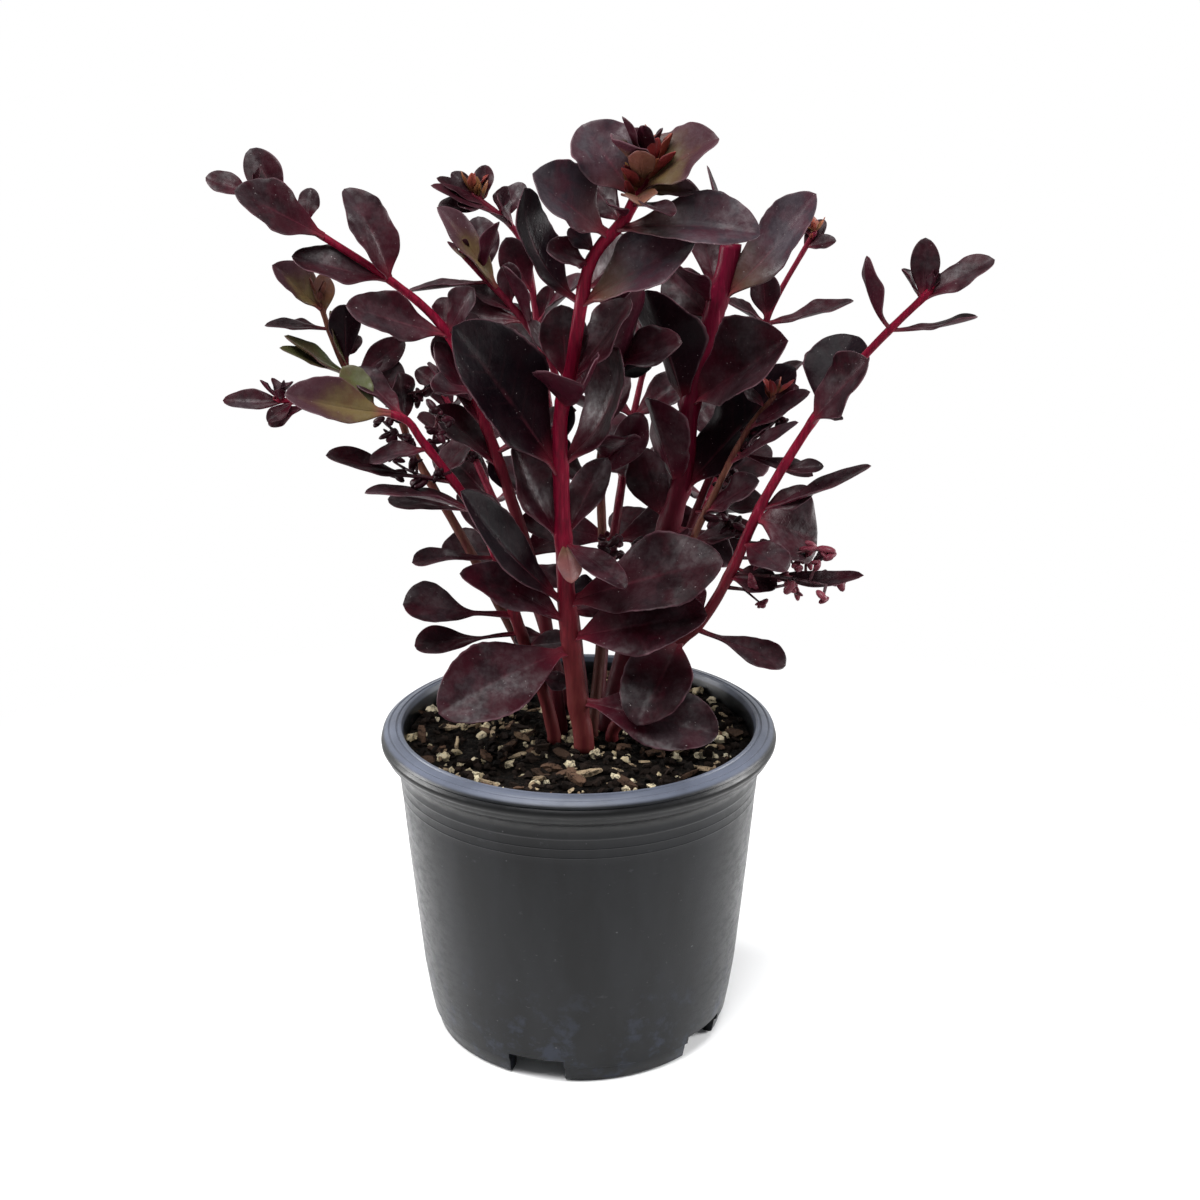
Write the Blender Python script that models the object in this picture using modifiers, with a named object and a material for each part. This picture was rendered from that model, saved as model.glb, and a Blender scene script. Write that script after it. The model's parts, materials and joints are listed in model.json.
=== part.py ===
"""A dark-leaved upright sedum growing in a 140 mm plastic nursery pot.

The pot stands on its foot ring, +Z up. Fourteen stems rise from one crown at the middle of the pot.
Every stem is its own solid, the large leaves are solids of their own, and the small leaves near the
shoot tips are grown onto their stem. Lengths in the tables are whole millimetres, and headings, rises,
turns and bends are degrees, set leaf by leaf in steps of five: heading 0 is +X, heading 90 is +Y, and
a rise of 90 is straight up.
"""

import math
from dataclasses import dataclass

import bmesh
import bpy
from mathutils import Matrix, Vector
from mathutils.bvhtree import BVHTree

# ---- Driving dimensions ------------------------------------------------------------------------------
MM = 0.001
FIT_GAP = 0.3 * MM

POT_HEIGHT = 118.0 * MM
POT_WALL = 1.6 * MM
POT_FLOOR_UNDERSIDE = 6.5 * MM
POT_FLOOR_TOP = 8.0 * MM
FOOT_WIDTH = 6.0 * MM
RIM_INNER_RADIUS = 64.0 * MM
POT_SIDES = 40
# Radius and height of the outer wall, from the lip down to the foot.
POT_OUTER_WALL = [
    (65.6, 118.0),
    (69.8, 116.6),
    (71.3, 115.3),
    (71.7, 113.4),
    (71.2, 111.4),
    (69.6, 109.2),
    (67.4, 107.0),
    (66.2, 105.0),
    (65.6, 102.0),
    (62.4, 65.0),
    (58.5, 25.0),
    (55.5, 6.0),
    (53.5, 0.0),
]
NOTCH_COUNT = 5
NOTCH_WIDTH = 23.0 * MM
NOTCH_HEIGHT = 6.0 * MM
FIRST_NOTCH_HEADING = 254.0

SOIL_TOP = 110.0 * MM
SOIL_EDGE_RISE = 1.5 * MM
SOIL_FLAT_RADIUS = 50.0 * MM

COLLAR_HEIGHT = 4 * MM
STEM_SIDES_RESOLUTION = 1
ROUTE_STEPS = 2

LEAF_THICKNESS = 1.5 * MM
LEAF_ROWS = 5
SHOOT_ROWS = 3
SPINE_STEPS = 24
# A leaf's half-width as a share of its widest: at the petiole, at the tip, and how full the outline swells.
PETIOLE_SHARE = 0.17
TIP_SHARE = 0.42
OUTLINE_POWER = 0.75
# How far the tip's corners are pulled back, as a share of the length.
TIP_CORNER_PULL = 0.07
# How deep a small leaf's petiole starts inside its stem, as a share of the stem's radius.
JOINED_DEPTH = 0.25
SEATING_PASSES = 6

MAROON = (0.030, 0.006, 0.011)
NEAR_BLACK = (0.010, 0.004, 0.007)
OLIVE = (0.085, 0.070, 0.028)
CRIMSON = (0.190, 0.012, 0.030)
POT_CHARCOAL = (0.030, 0.032, 0.034)
SOIL_BROWN = (0.016, 0.012, 0.009)


@dataclass
class Leaf:
    """A leaf: where it sits along its stem, which way it points and how its blade is shaped.

    The plant grew with its light from -Y, so each leaf turns its face that way by the angle in turn,
    in full where it points along X and not at all where it points along Y.
    """

    at: float
    heading: float
    rise: float
    length: float
    width: float
    turn: float = 45
    bend: float = 0
    belly: float = 0.58
    cup: float = 0.22
    tone: tuple = MAROON


@dataclass
class Stem:
    """A stem: its foot on the soil, the points it grows through, its radii and its leaves."""

    foot: tuple
    route: list
    foot_radius: float
    tip_radius: float
    leaves: list
    shoots: list


# The stems at the back carry plain opposite pairs, each turned across the one below.
# Each pair's place on the stem, rise, length and width.
BACK_PAIRS = [
    (0.45, 15, 36, 18),
    (0.62, 25, 38, 19),
    (0.78, 35, 30, 15),
    (0.90, 45, 20, 11),
    (0.97, 60, 13, 8),
]


def back_shoots(outward):
    """The leaf pairs of a stem at the back, from the heading in which the stem leans."""
    leaves = []
    for index, (at, rise, length, width) in enumerate(BACK_PAIRS):
        across = outward + 90 * ((index + 1) % 2)
        leaves.append(Leaf(at, across, rise, length, width, bend=-15))
        leaves.append(Leaf(at, across + 180, rise, 0.9 * length, width, bend=-15))
    return leaves


STEMS = {
    "front": Stem(
        foot=(2, -11),
        route=[
            (-1, -8, 134),
            (-4, -7, 166),
            (-6, -8, 220),
            (-5, -9, 238),
            (-2, -10, 250),
            (3, -13, 281),
            (8, -14, 292),
            (16, -14, 301),
            (26, -13, 321),
        ],
        foot_radius=3.7,
        tip_radius=1.6,
        leaves=[
            Leaf(0.09, 350, -10, 48, 25, bend=-20, belly=0.62),
            Leaf(0.18, 210, -15, 51, 28, turn=55, bend=-20, belly=0.6),
            Leaf(0.20, 345, 15, 48, 26, bend=-20),
            Leaf(0.26, 345, 20, 56, 31, bend=-15, cup=0.1),
            Leaf(0.26, 210, 50, 59, 20, turn=60, bend=20, tone=NEAR_BLACK),
            Leaf(0.23, 200, 30, 42, 17, bend=-15),
            Leaf(0.36, 310, -15, 31, 12, turn=15, bend=-15),
            Leaf(0.49, 350, 65, 47, 27, turn=40, bend=75),
            Leaf(0.48, 205, 55, 63, 38, turn=65, bend=10, tone=NEAR_BLACK),
            Leaf(0.59, 285, 25, 28, 24, bend=40, cup=0.75),
            Leaf(0.75, 190, 65, 44, 20, bend=80, belly=0.6, tone=NEAR_BLACK),
            Leaf(0.75, 345, 30, 42, 26, bend=-10),
            Leaf(0.88, 345, 0, 46, 23, turn=40, bend=-25, belly=0.6, cup=0.3),
            Leaf(0.86, 195, 40, 31, 27, turn=50, bend=20, cup=0.3),
            Leaf(0.93, 155, 50, 28, 27, turn=40, bend=10),
            Leaf(0.94, 350, 35, 30, 24, turn=40, bend=-10, cup=0.3, tone=OLIVE),
        ],
        shoots=[
            Leaf(0.81, 215, 20, 16, 14, turn=50, bend=-10),
            Leaf(0.92, 295, 0, 27, 10, turn=0, bend=-20),
            Leaf(0.97, 205, 65, 19, 8, turn=10),
            Leaf(0.98, 255, 60, 15, 7),
            Leaf(0.98, 0, 70, 12, 7, turn=0),
            Leaf(0.96, 265, 35, 18, 9, bend=20),
            Leaf(0.62, 25, 50, 34, 21, turn=10, bend=10),
            Leaf(0.62, 100, 70, 25, 17, bend=10),
            Leaf(0.37, 45, 50, 30, 15, turn=20, bend=10),
            Leaf(0.36, 175, 65, 37, 20, turn=30, bend=25),
            Leaf(0.90, 240, 25, 11, 9, bend=-10),
            Leaf(0.97, 230, 35, 20, 15, turn=30, cup=0.3),
            Leaf(0.93, 275, 0, 15, 12, bend=-30, cup=0.3),
            Leaf(0.99, 145, 55, 11, 6),
            Leaf(0.89, 120, 25, 24, 15, turn=100),
            Leaf(0.24, 40, 0, 23, 16, turn=60),
            Leaf(0.77, 55, 20, 32, 16, turn=100),
        ],
    ),
    "upper_left": Stem(
        foot=(-7, 5),
        route=[
            (-14, 17, 158),
            (-26, 22, 200),
            (-38, 26, 234),
            (-47, 28, 255),
            (-68, 30, 274),
            (-116, 34, 304),
        ],
        foot_radius=2.8,
        tip_radius=1,
        leaves=[
            Leaf(0.64, 200, 20, 37, 19, turn=50, bend=10),
            Leaf(0.76, 180, 65, 34, 18, bend=-50, belly=0.5),
            Leaf(0.76, 185, 15, 33, 17, turn=35, bend=15),
            Leaf(0.87, 200, 30, 34, 21, turn=50),
        ],
        shoots=[
            Leaf(0.43, 165, 40, 30, 18, turn=20),
            Leaf(0.45, 350, 30, 32, 17, turn=20),
            Leaf(0.53, 150, 55, 27, 17, turn=30),
            Leaf(0.55, 240, 10, 22, 15),
            Leaf(0.61, 80, 35, 18, 12),
            Leaf(0.90, 80, 60, 13, 8),
            Leaf(0.94, 145, 55, 24, 13, turn=60),
            Leaf(0.99, 180, 20, 16, 10),
            Leaf(0.49, 165, 60, 34, 16, turn=30),
            Leaf(0.65, 90, 45, 12, 10),
            Leaf(0.64, 345, 60, 18, 14, turn=60),
        ],
    ),
    "left": Stem(
        foot=(-9, -4),
        route=[
            (-13, -2, 130),
            (-22, -3, 157),
            (-32, -8, 192),
            (-52, -12, 224),
            (-63, -13, 235),
            (-103, -13, 240),
        ],
        foot_radius=2.5,
        tip_radius=0.9,
        leaves=[
            Leaf(0.25, 185, -5, 36, 12, turn=35, bend=-10, belly=0.8),
            Leaf(0.29, 190, 10, 38, 18, turn=35, belly=0.8),
            Leaf(0.53, 200, 15, 38, 12, turn=5, bend=-25),
            Leaf(0.60, 190, 15, 43, 12, turn=20, bend=15, belly=0.8),
            Leaf(0.78, 200, 15, 36, 17, turn=50, bend=10, cup=0.35, tone=OLIVE),
        ],
        shoots=[
            Leaf(0.45, 120, 35, 24, 16, turn=0),
            Leaf(0.68, 195, -10, 19, 12, turn=15, bend=-15),
            Leaf(0.76, 145, 35, 24, 14, turn=0),
            Leaf(0.93, 190, -25, 15, 7, bend=-20, belly=0.7),
            Leaf(0.97, 175, 0, 22, 8),
            Leaf(0.96, 220, -25, 11, 6),
            Leaf(0.42, 190, 0, 28, 11, turn=20, bend=-20, belly=0.8),
            Leaf(0.53, 170, 5, 29, 10, turn=30, belly=0.75),
            Leaf(0.81, 160, 50, 17, 12, turn=30, bend=10),
        ],
    ),
    "brown_left": Stem(
        foot=(-10, 16),
        route=[
            (-22, 24, 138),
            (-43, 36, 175),
            (-61, 41, 207),
            (-68, 44, 224),
            (-85, 46, 237),
            (-96, 50, 266),
        ],
        foot_radius=2.3,
        tip_radius=0.9,
        leaves=[
            Leaf(0.84, 280, 75, 24, 12, turn=0, belly=0.65, tone=NEAR_BLACK),
            Leaf(0.96, 190, 45, 23, 15, bend=20, cup=0.4, tone=OLIVE),
        ],
        shoots=[
            Leaf(0.55, 10, 45, 30, 17, turn=20),
            Leaf(0.68, 225, 85, 18, 14, turn=110),
            Leaf(0.83, 180, 75, 22, 8, turn=30),
            Leaf(0.81, 190, 35, 29, 11, turn=10, bend=10),
            Leaf(0.92, 160, 0, 24, 9, turn=5),
            Leaf(0.92, 190, 5, 22, 9, turn=10),
            Leaf(0.81, 15, 35, 22, 11, turn=70),
            Leaf(0.76, 25, 50, 13, 12, turn=65),
        ],
    ),
    "thin_left": Stem(
        foot=(-1, 12),
        route=[(-4, 27, 150), (-5, 36, 200), (-8, 39, 235), (-19, 42, 255), (-43, 46, 281)],
        foot_radius=1.8,
        tip_radius=1.2,
        leaves=[],
        shoots=[
            Leaf(0.43, 165, 30, 34, 22, turn=0),
            Leaf(0.74, 200, 60, 14, 10),
            Leaf(0.79, 205, 65, 27, 13, turn=0),
            Leaf(0.84, 165, 25, 24, 9, turn=20),
            Leaf(0.92, 190, -5, 28, 10, turn=0),
            Leaf(0.93, 105, 60, 22, 13),
            Leaf(0.94, 320, 65, 20, 11, turn=15),
            Leaf(0.90, 190, 55, 35, 13, cup=0.3),
            Leaf(0.82, 170, 5, 32, 14, turn=60),
        ],
    ),
    "back_left": Stem(
        foot=(2, 23),
        route=[(-7, 50, 186), (-16, 66, 252), (-22, 72, 281), (-41, 76, 298)],
        foot_radius=2,
        tip_radius=1,
        leaves=[],
        shoots=[
            Leaf(0.62, 130, 45, 34, 18, bend=-15),
            Leaf(0.72, 320, 40, 30, 15, bend=-10),
            Leaf(0.90, 200, 65, 13, 8),
            Leaf(0.92, 50, 50, 15, 9),
            Leaf(0.96, 180, 0, 17, 9),
            Leaf(0.97, 80, 65, 13, 8),
            Leaf(0.98, 160, 40, 13, 7),
            Leaf(0.78, 180, 65, 21, 13, turn=80),
            Leaf(0.93, 190, 25, 27, 8, turn=30),
            Leaf(0.95, 180, 30, 22, 8, turn=30),
            Leaf(0.93, 0, 75, 10, 8),
            Leaf(0.90, 205, 35, 10, 7, turn=0),
            Leaf(0.96, 210, 5, 11, 8),
        ],
    ),
    "tall_right": Stem(
        foot=(11, 9),
        route=[
            (23, 26, 154),
            (37, 34, 195),
            (40, 37, 223),
            (46, 40, 248),
            (53, 43, 275),
            (55, 44, 286),
        ],
        foot_radius=4.4,
        tip_radius=3.5,
        leaves=[
            Leaf(0.50, 355, 50, 59, 31, turn=40, tone=NEAR_BLACK),
            Leaf(0.51, 215, 70, 34, 28, turn=0),
            Leaf(0.67, 200, 70, 43, 30, turn=-25, tone=NEAR_BLACK),
            Leaf(0.68, 325, 35, 44, 32, turn=75, cup=0.4),
            Leaf(0.88, 350, 50, 48, 23, turn=50, bend=15),
        ],
        shoots=[
            Leaf(0.43, 330, -25, 24, 17, turn=25),
            Leaf(0.78, 110, 20, 24, 20, turn=0),
            Leaf(0.76, 20, 25, 24, 18, turn=20),
            Leaf(0.87, 205, 40, 23, 18, turn=0),
            Leaf(0.89, 110, 50, 34, 18, turn=0, bend=-15),
            Leaf(0.98, 165, 75, 27, 6, turn=0),
            Leaf(0.42, 275, 0, 19, 13, bend=60, belly=0.6, cup=0.6),
            Leaf(0.97, 165, 60, 27, 8, turn=0),
            Leaf(0.44, 140, 65, 25, 17, turn=90),
            Leaf(0.84, 140, 35, 21, 17, turn=80),
        ],
    ),
    "far_right": Stem(
        foot=(17, 23),
        route=[(43, 55, 177), (61, 66, 221), (71, 72, 252), (84, 76, 276), (89, 77, 284)],
        foot_radius=2,
        tip_radius=0.9,
        leaves=[
            Leaf(0.80, 0, 15, 33, 12, turn=10, bend=15),
        ],
        shoots=[
            Leaf(0.42, 330, 10, 30, 22, turn=0),
            Leaf(0.66, 30, 20, 28, 14, turn=0, bend=10),
            Leaf(0.80, 200, 30, 17, 12, turn=20),
            Leaf(0.95, 30, 50, 14, 7),
            Leaf(0.96, 340, 15, 11, 7),
            Leaf(0.98, 150, 60, 9, 5),
            Leaf(0.81, 175, 85, 17, 12, turn=75),
        ],
    ),
    "right": Stem(
        foot=(12, -2),
        route=[
            (32, 0, 143),
            (44, 0, 156),
            (54, 0, 174),
            (65, -3, 202),
            (82, -6, 233),
            (98, -8, 255),
            (119, -11, 278),
        ],
        foot_radius=2.3,
        tip_radius=1.2,
        leaves=[
            Leaf(0.27, 350, -20, 33, 14, turn=30, bend=-10, belly=0.75),
            Leaf(0.50, 15, -25, 24, 32, cup=0.15),
            Leaf(0.52, 350, 25, 40, 11, turn=10, bend=15, belly=0.65),
            Leaf(0.70, 325, 50, 30, 22, turn=70),
            Leaf(0.72, 50, 50, 29, 24, turn=10, tone=NEAR_BLACK),
            Leaf(0.90, 190, 70, 26, 11, turn=-10, bend=50),
            Leaf(0.90, 355, 10, 28, 10, turn=0, bend=20, belly=0.7),
            Leaf(0.23, 235, -40, 34, 26, turn=25, bend=-25, belly=0.52),
        ],
        shoots=[
            Leaf(0.38, 345, -5, 16, 12, turn=40, bend=-30),
            Leaf(0.40, 350, 0, 45, 9, turn=20, bend=40, belly=0.7),
            Leaf(0.45, 305, -10, 22, 14, turn=35),
            Leaf(0.71, 335, 0, 8, 6, turn=10),
            Leaf(0.97, 0, 30, 26, 13, turn=30),
            Leaf(0.97, 70, 80, 19, 10),
            Leaf(0.97, 180, 55, 11, 8, turn=10),
        ],
    ),
    "middle": Stem(
        foot=(5, 2),
        route=[(9, 18, 157), (8, 26, 201), (10, 28, 232), (14, 30, 262)],
        foot_radius=2,
        tip_radius=1.3,
        leaves=[],
        shoots=[
            Leaf(0.59, 185, 35, 32, 18, turn=20),
            Leaf(0.66, 290, 30, 26, 18, turn=0),
            Leaf(0.72, 80, 40, 30, 17),
            Leaf(0.76, 205, 30, 26, 22, turn=0),
            Leaf(0.80, 195, 50, 30, 17, turn=20),
            Leaf(0.88, 335, 20, 28, 18),
            Leaf(0.97, 315, 65, 28, 16, turn=15),
            Leaf(0.97, 200, 60, 24, 15, turn=0),
            Leaf(0.80, 320, 70, 44, 20, turn=0, bend=10),
            Leaf(0.62, 325, 55, 30, 13, turn=-100),
        ],
    ),
    "bud_branch": Stem(
        foot=(20, 12),
        route=[(34, 18, 162), (48, 16, 197), (60, 19, 221), (71, 23, 234)],
        foot_radius=1.9,
        tip_radius=0.9,
        leaves=[],
        shoots=[
            Leaf(0.54, 20, 10, 24, 14, turn=20),
            Leaf(0.81, 335, -10, 29, 8, turn=30, belly=0.7),
            Leaf(0.96, 10, 30, 12, 7),
            Leaf(0.95, 190, 40, 10, 6),
            Leaf(0.64, 335, 35, 23, 15, turn=40),
            Leaf(0.88, 340, 35, 26, 9),
            Leaf(0.78, 330, 35, 31, 8, turn=35),
        ],
    ),
    "back_middle": Stem(
        foot=(7, 31),
        route=[(12, 59, 160), (20, 80, 208), (28, 94, 240)],
        foot_radius=2.6,
        tip_radius=1,
        leaves=[],
        shoots=back_shoots(100),
    ),
    "back_far_left": Stem(
        foot=(-5, 30),
        route=[(-20, 55, 152), (-40, 80, 192), (-56, 94, 222)],
        foot_radius=2.4,
        tip_radius=1,
        leaves=[],
        shoots=back_shoots(130),
    ),
    "back_far_right": Stem(
        foot=(18, 33),
        route=[(38, 65, 158), (58, 86, 196), (72, 98, 224)],
        foot_radius=2.4,
        tip_radius=1,
        leaves=[],
        shoots=back_shoots(45),
    ),
}


def fresh_collection(name):
    """Empties the scene of a previous run's collection of this name and links a new one."""
    old = bpy.data.collections.get(name)
    if old:
        bpy.data.collections.remove(old)
    collection = bpy.data.collections.new(name)
    bpy.context.scene.collection.children.link(collection)
    return collection


def material(name, colour, roughness, metallic=0.0):
    """A Principled material of one colour."""
    made = bpy.data.materials.new(name)
    made.use_nodes = True
    shader = made.node_tree.nodes["Principled BSDF"]
    shader.inputs["Base Color"].default_value = (*colour, 1.0)
    shader.inputs["Roughness"].default_value = roughness
    shader.inputs["Metallic"].default_value = metallic
    return made


def place(obj, collection, parent, finish=None):
    """Moves an object to its collection, under its parent, with its material."""
    for held in list(obj.users_collection):
        held.objects.unlink(obj)
    collection.objects.link(obj)
    obj.parent = parent
    if finish:
        obj.data.materials.clear()
        obj.data.materials.append(finish)
    return obj


def as_helper(obj):
    """Marks an object that only cuts or joins another one."""
    obj.hide_render = True
    obj.display_type = "WIRE"
    return obj


def boolean(target, helper, operation):
    """Cuts or joins the target with the helper."""
    modifier = target.modifiers.new(helper.name, "BOOLEAN")
    modifier.operation = operation
    modifier.solver = "EXACT"
    modifier.object = helper


# ---- Pot and soil ------------------------------------------------------------------------------------
def turned(name, profile):
    """A turned solid from an open profile of (radius, height) that starts and ends on the axis."""
    mesh = bpy.data.meshes.new(name)
    edges = [(i, i + 1) for i in range(len(profile) - 1)]
    mesh.from_pydata([(radius, 0, height) for radius, height in profile], edges, [])
    obj = bpy.data.objects.new(name, mesh)
    screw = obj.modifiers.new("turn", "SCREW")
    screw.steps = POT_SIDES
    screw.render_steps = POT_SIDES
    screw.use_merge_vertices = True
    screw.merge_threshold = 0.00001
    screw.use_smooth_shade = True
    return obj


def inner_radius(height):
    """The pot's inside radius at a height: one wall inside the outer face, and never wider than the rim."""
    wall = [(radius * MM, level * MM) for radius, level in reversed(POT_OUTER_WALL)]
    for (low_radius, low), (high_radius, high) in zip(wall, wall[1:]):
        if low <= height <= high:
            share = (height - low) / (high - low)
            return min(low_radius + share * (high_radius - low_radius) - POT_WALL, RIM_INNER_RADIUS)
    return RIM_INNER_RADIUS


def pot_profile():
    """Half the pot's section: up the inside, over the rim, down the outside and in under the foot."""
    inside_heights = [POT_FLOOR_TOP, 25 * MM, 65 * MM, 102 * MM, POT_HEIGHT]
    inside = [(inner_radius(height), height) for height in inside_heights]
    outside = [(radius * MM, height * MM) for radius, height in POT_OUTER_WALL]
    foot_radius = outside[-1][0] - FOOT_WIDTH
    foot = [(foot_radius, 0.0), (foot_radius, POT_FLOOR_UNDERSIDE), (0.0, POT_FLOOR_UNDERSIDE)]
    return [(0.0, POT_FLOOR_TOP), *inside, *outside, *foot]


def build_pot(parts, helpers, origin, finish):
    """The nursery pot: a turned shell on a foot ring with five drainage notches."""
    pot = place(turned("nursery_pot", pot_profile()), parts, origin, finish)
    foot_outer = POT_OUTER_WALL[-1][0] * MM
    for index in range(NOTCH_COUNT):
        heading = math.radians(FIRST_NOTCH_HEADING + index * 360 / NOTCH_COUNT)
        reach = foot_outer - FOOT_WIDTH / 2
        bpy.ops.mesh.primitive_cube_add(size=1)
        cutter = bpy.context.object
        cutter.name = f"notch_cutter_{index + 1}"
        cutter.scale = (3 * FOOT_WIDTH, NOTCH_WIDTH, 2 * NOTCH_HEIGHT)
        cutter.location = (reach * math.cos(heading), reach * math.sin(heading), 0)
        cutter.rotation_euler = (0, 0, heading)
        boolean(pot, as_helper(place(cutter, helpers, origin)), "DIFFERENCE")
    return pot


def build_soil(parts, origin, finish):
    """The potting mix: it fills the pot to just below the rim, and rises a little at the wall."""
    edge_height = SOIL_TOP + SOIL_EDGE_RISE
    under = POT_FLOOR_TOP + FIT_GAP
    heights = [edge_height, 102 * MM, 65 * MM, 25 * MM, under]
    wall = [(inner_radius(height) - FIT_GAP, height) for height in heights]
    profile = [(0.0, SOIL_TOP), (SOIL_FLAT_RADIUS, SOIL_TOP), *wall, (0.0, under)]
    return place(turned("potting_mix", profile), parts, origin, finish)


# ---- Stems -------------------------------------------------------------------------------------------
def smooth_route(points):
    """A smooth line through the points, with ROUTE_STEPS stretches between each two."""
    ends = [2 * points[0] - points[1], *points, 2 * points[-1] - points[-2]]
    line = []
    for before, start, end, after in zip(ends, ends[1:], ends[2:], ends[3:]):
        for step in range(ROUTE_STEPS):
            t = step / ROUTE_STEPS
            line.append(
                0.5 * (2 * start + (end - before) * t)
                + 0.5 * (2 * before - 5 * start + 4 * end - after) * t**2
                + 0.5 * (3 * start - before - 3 * end + after) * t**3
            )
    return [*line, points[-1]]


def stem_line(stem):
    """The stem's line from its foot, which stands square on the soil."""
    x, y = stem.foot
    foot = Vector((x, y, 0)) * MM
    foot.z = SOIL_TOP + FIT_GAP
    collar = foot + Vector((0, 0, COLLAR_HEIGHT))
    return [foot, *smooth_route([collar, *(Vector(point) * MM for point in stem.route)])]


def point_along(line, share):
    """The point at a share of the line's length, and the line's direction there."""
    lengths = [(b - a).length for a, b in zip(line, line[1:])]
    left = share * sum(lengths)
    for (start, end), length in zip(zip(line, line[1:]), lengths):
        if left <= length:
            return start.lerp(end, left / length), (end - start).normalized()
        left -= length
    return line[-1], (line[-1] - line[-2]).normalized()


def stem_radius(stem, share):
    """The stem thins evenly from foot to tip."""
    return (stem.foot_radius + share * (stem.tip_radius - stem.foot_radius)) * MM


def stem_solid(name, stem):
    """A tapered tube with closed ends along the stem's line, as a mesh that leaves can be joined to."""
    line = stem_line(stem)
    total = sum((b - a).length for a, b in zip(line, line[1:]))
    curve = bpy.data.curves.new(name, "CURVE")
    curve.dimensions = "3D"
    curve.bevel_depth = 1.0
    curve.bevel_resolution = STEM_SIDES_RESOLUTION
    curve.use_fill_caps = True
    spline = curve.splines.new("POLY")
    spline.points.add(len(line) - 1)
    run = 0.0
    for index, point in enumerate(line):
        run += (point - line[index - 1]).length if index else 0.0
        spline.points[index].co = (*point, 1.0)
        spline.points[index].radius = stem_radius(stem, run / total)
    tube = bpy.data.objects.new(f"{name}_tube", curve)
    bpy.context.scene.collection.objects.link(tube)
    graph = bpy.context.evaluated_depsgraph_get()
    mesh = bpy.data.meshes.new_from_object(tube.evaluated_get(graph))
    bpy.data.objects.remove(tube)
    bpy.data.curves.remove(curve)
    welded = bmesh.new()
    welded.from_mesh(mesh)
    bmesh.ops.remove_doubles(welded, verts=welded.verts, dist=0.01 * MM)
    bmesh.ops.recalc_face_normals(welded, faces=welded.faces)
    welded.to_mesh(mesh)
    welded.free()
    mesh.name = name
    return bpy.data.objects.new(name, mesh)


# ---- Leaves ------------------------------------------------------------------------------------------
def half_width(leaf, t):
    """The blade's half-width at a share of its length: narrow petiole, wide belly, blunt tip."""
    swing = min(t, 1.0) ** (math.log(0.5) / math.log(leaf.belly))
    share = math.sin(math.pi * swing) ** OUTLINE_POWER
    least = PETIOLE_SHARE if t < leaf.belly else TIP_SHARE
    return 0.5 * leaf.width * MM * max(share, least)


def leaf_frame(leaf, t):
    """The directions along, across and out of the blade at a share of its length."""
    heading = math.radians(leaf.heading)
    rise = math.radians(leaf.rise)
    level = Vector((math.cos(heading), math.sin(heading), 0))
    along = level * math.cos(rise) + Vector((0, 0, math.sin(rise)))
    across = along.cross(Vector((0, 0, 1))).normalized()
    face = across.cross(along)
    turn = Matrix.Rotation(math.radians(leaf.turn) * math.cos(heading), 3, along)
    across = turn @ across
    face = turn @ face
    lean = math.radians(leaf.bend) * (t - 0.5)
    leaning = along * math.cos(lean) + face * math.sin(lean)
    return leaning, across, face * math.cos(lean) - along * math.sin(lean)


def joint_with_stem(leaf, stem, line):
    """The point on the stem's line where the leaf grows, the stem's radius there and the way out of it."""
    point, grows = point_along(line, leaf.at)
    along = leaf_frame(leaf, 0.0)[0]
    return point, stem_radius(stem, leaf.at), (along - grows * along.dot(grows)).normalized()


def grown_leaf(name, leaf, stem, line):
    """A small leaf whose petiole starts inside its stem."""
    point, radius, away = joint_with_stem(leaf, stem, line)
    return leaf_solid(name, leaf, point + away * radius * JOINED_DEPTH, SHOOT_ROWS)


def seated_leaf(name, leaf, stem, line, solid):
    """A large leaf, set off its stem and then slid up to it until only the fit gap is left."""
    point, radius, away = joint_with_stem(leaf, stem, line)
    clear = radius + half_width(leaf, 0.0) + LEAF_THICKNESS
    blade = leaf_solid(name, leaf, point + away * clear, LEAF_ROWS)
    surface = BVHTree.FromObject(solid, bpy.context.evaluated_depsgraph_get())
    for _ in range(SEATING_PASSES):
        nearest = min(surface.find_nearest(vert.co)[3] for vert in blade.data.vertices)
        blade.data.transform(Matrix.Translation(-away * max(nearest - FIT_GAP, 0.0)))
    return blade


def leaf_solid(name, leaf, start, rows):
    """A fleshy blade: a grid shaped to the outline, cupped and bent, then thickened."""
    blade = bmesh.new()
    bmesh.ops.create_grid(blade, x_segments=2, y_segments=rows, size=0.5)
    step = leaf.length * MM / SPINE_STEPS
    spine = [start.copy()]
    for index in range(SPINE_STEPS):
        spine.append(spine[-1] + leaf_frame(leaf, (index + 0.5) / SPINE_STEPS)[0] * step)
    for vert in blade.verts:
        side = 2 * vert.co.x
        t = vert.co.y + 0.5
        t -= TIP_CORNER_PULL * abs(side) * t**6
        along, across, face = leaf_frame(leaf, t)
        index = min(int(t * SPINE_STEPS), SPINE_STEPS - 1)
        centre = spine[index].lerp(spine[index + 1], t * SPINE_STEPS - index)
        width = half_width(leaf, t)
        vert.co = centre + across * side * width + face * abs(side) * width * leaf.cup
    bmesh.ops.recalc_face_normals(blade, faces=blade.faces)
    bmesh.ops.solidify(blade, geom=blade.faces, thickness=LEAF_THICKNESS)
    bmesh.ops.recalc_face_normals(blade, faces=blade.faces)
    mesh = bpy.data.meshes.new(name)
    blade.to_mesh(mesh)
    blade.free()
    mesh.shade_smooth()
    mesh.set_sharp_from_angle(angle=math.radians(50))
    return bpy.data.objects.new(name, mesh)


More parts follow.
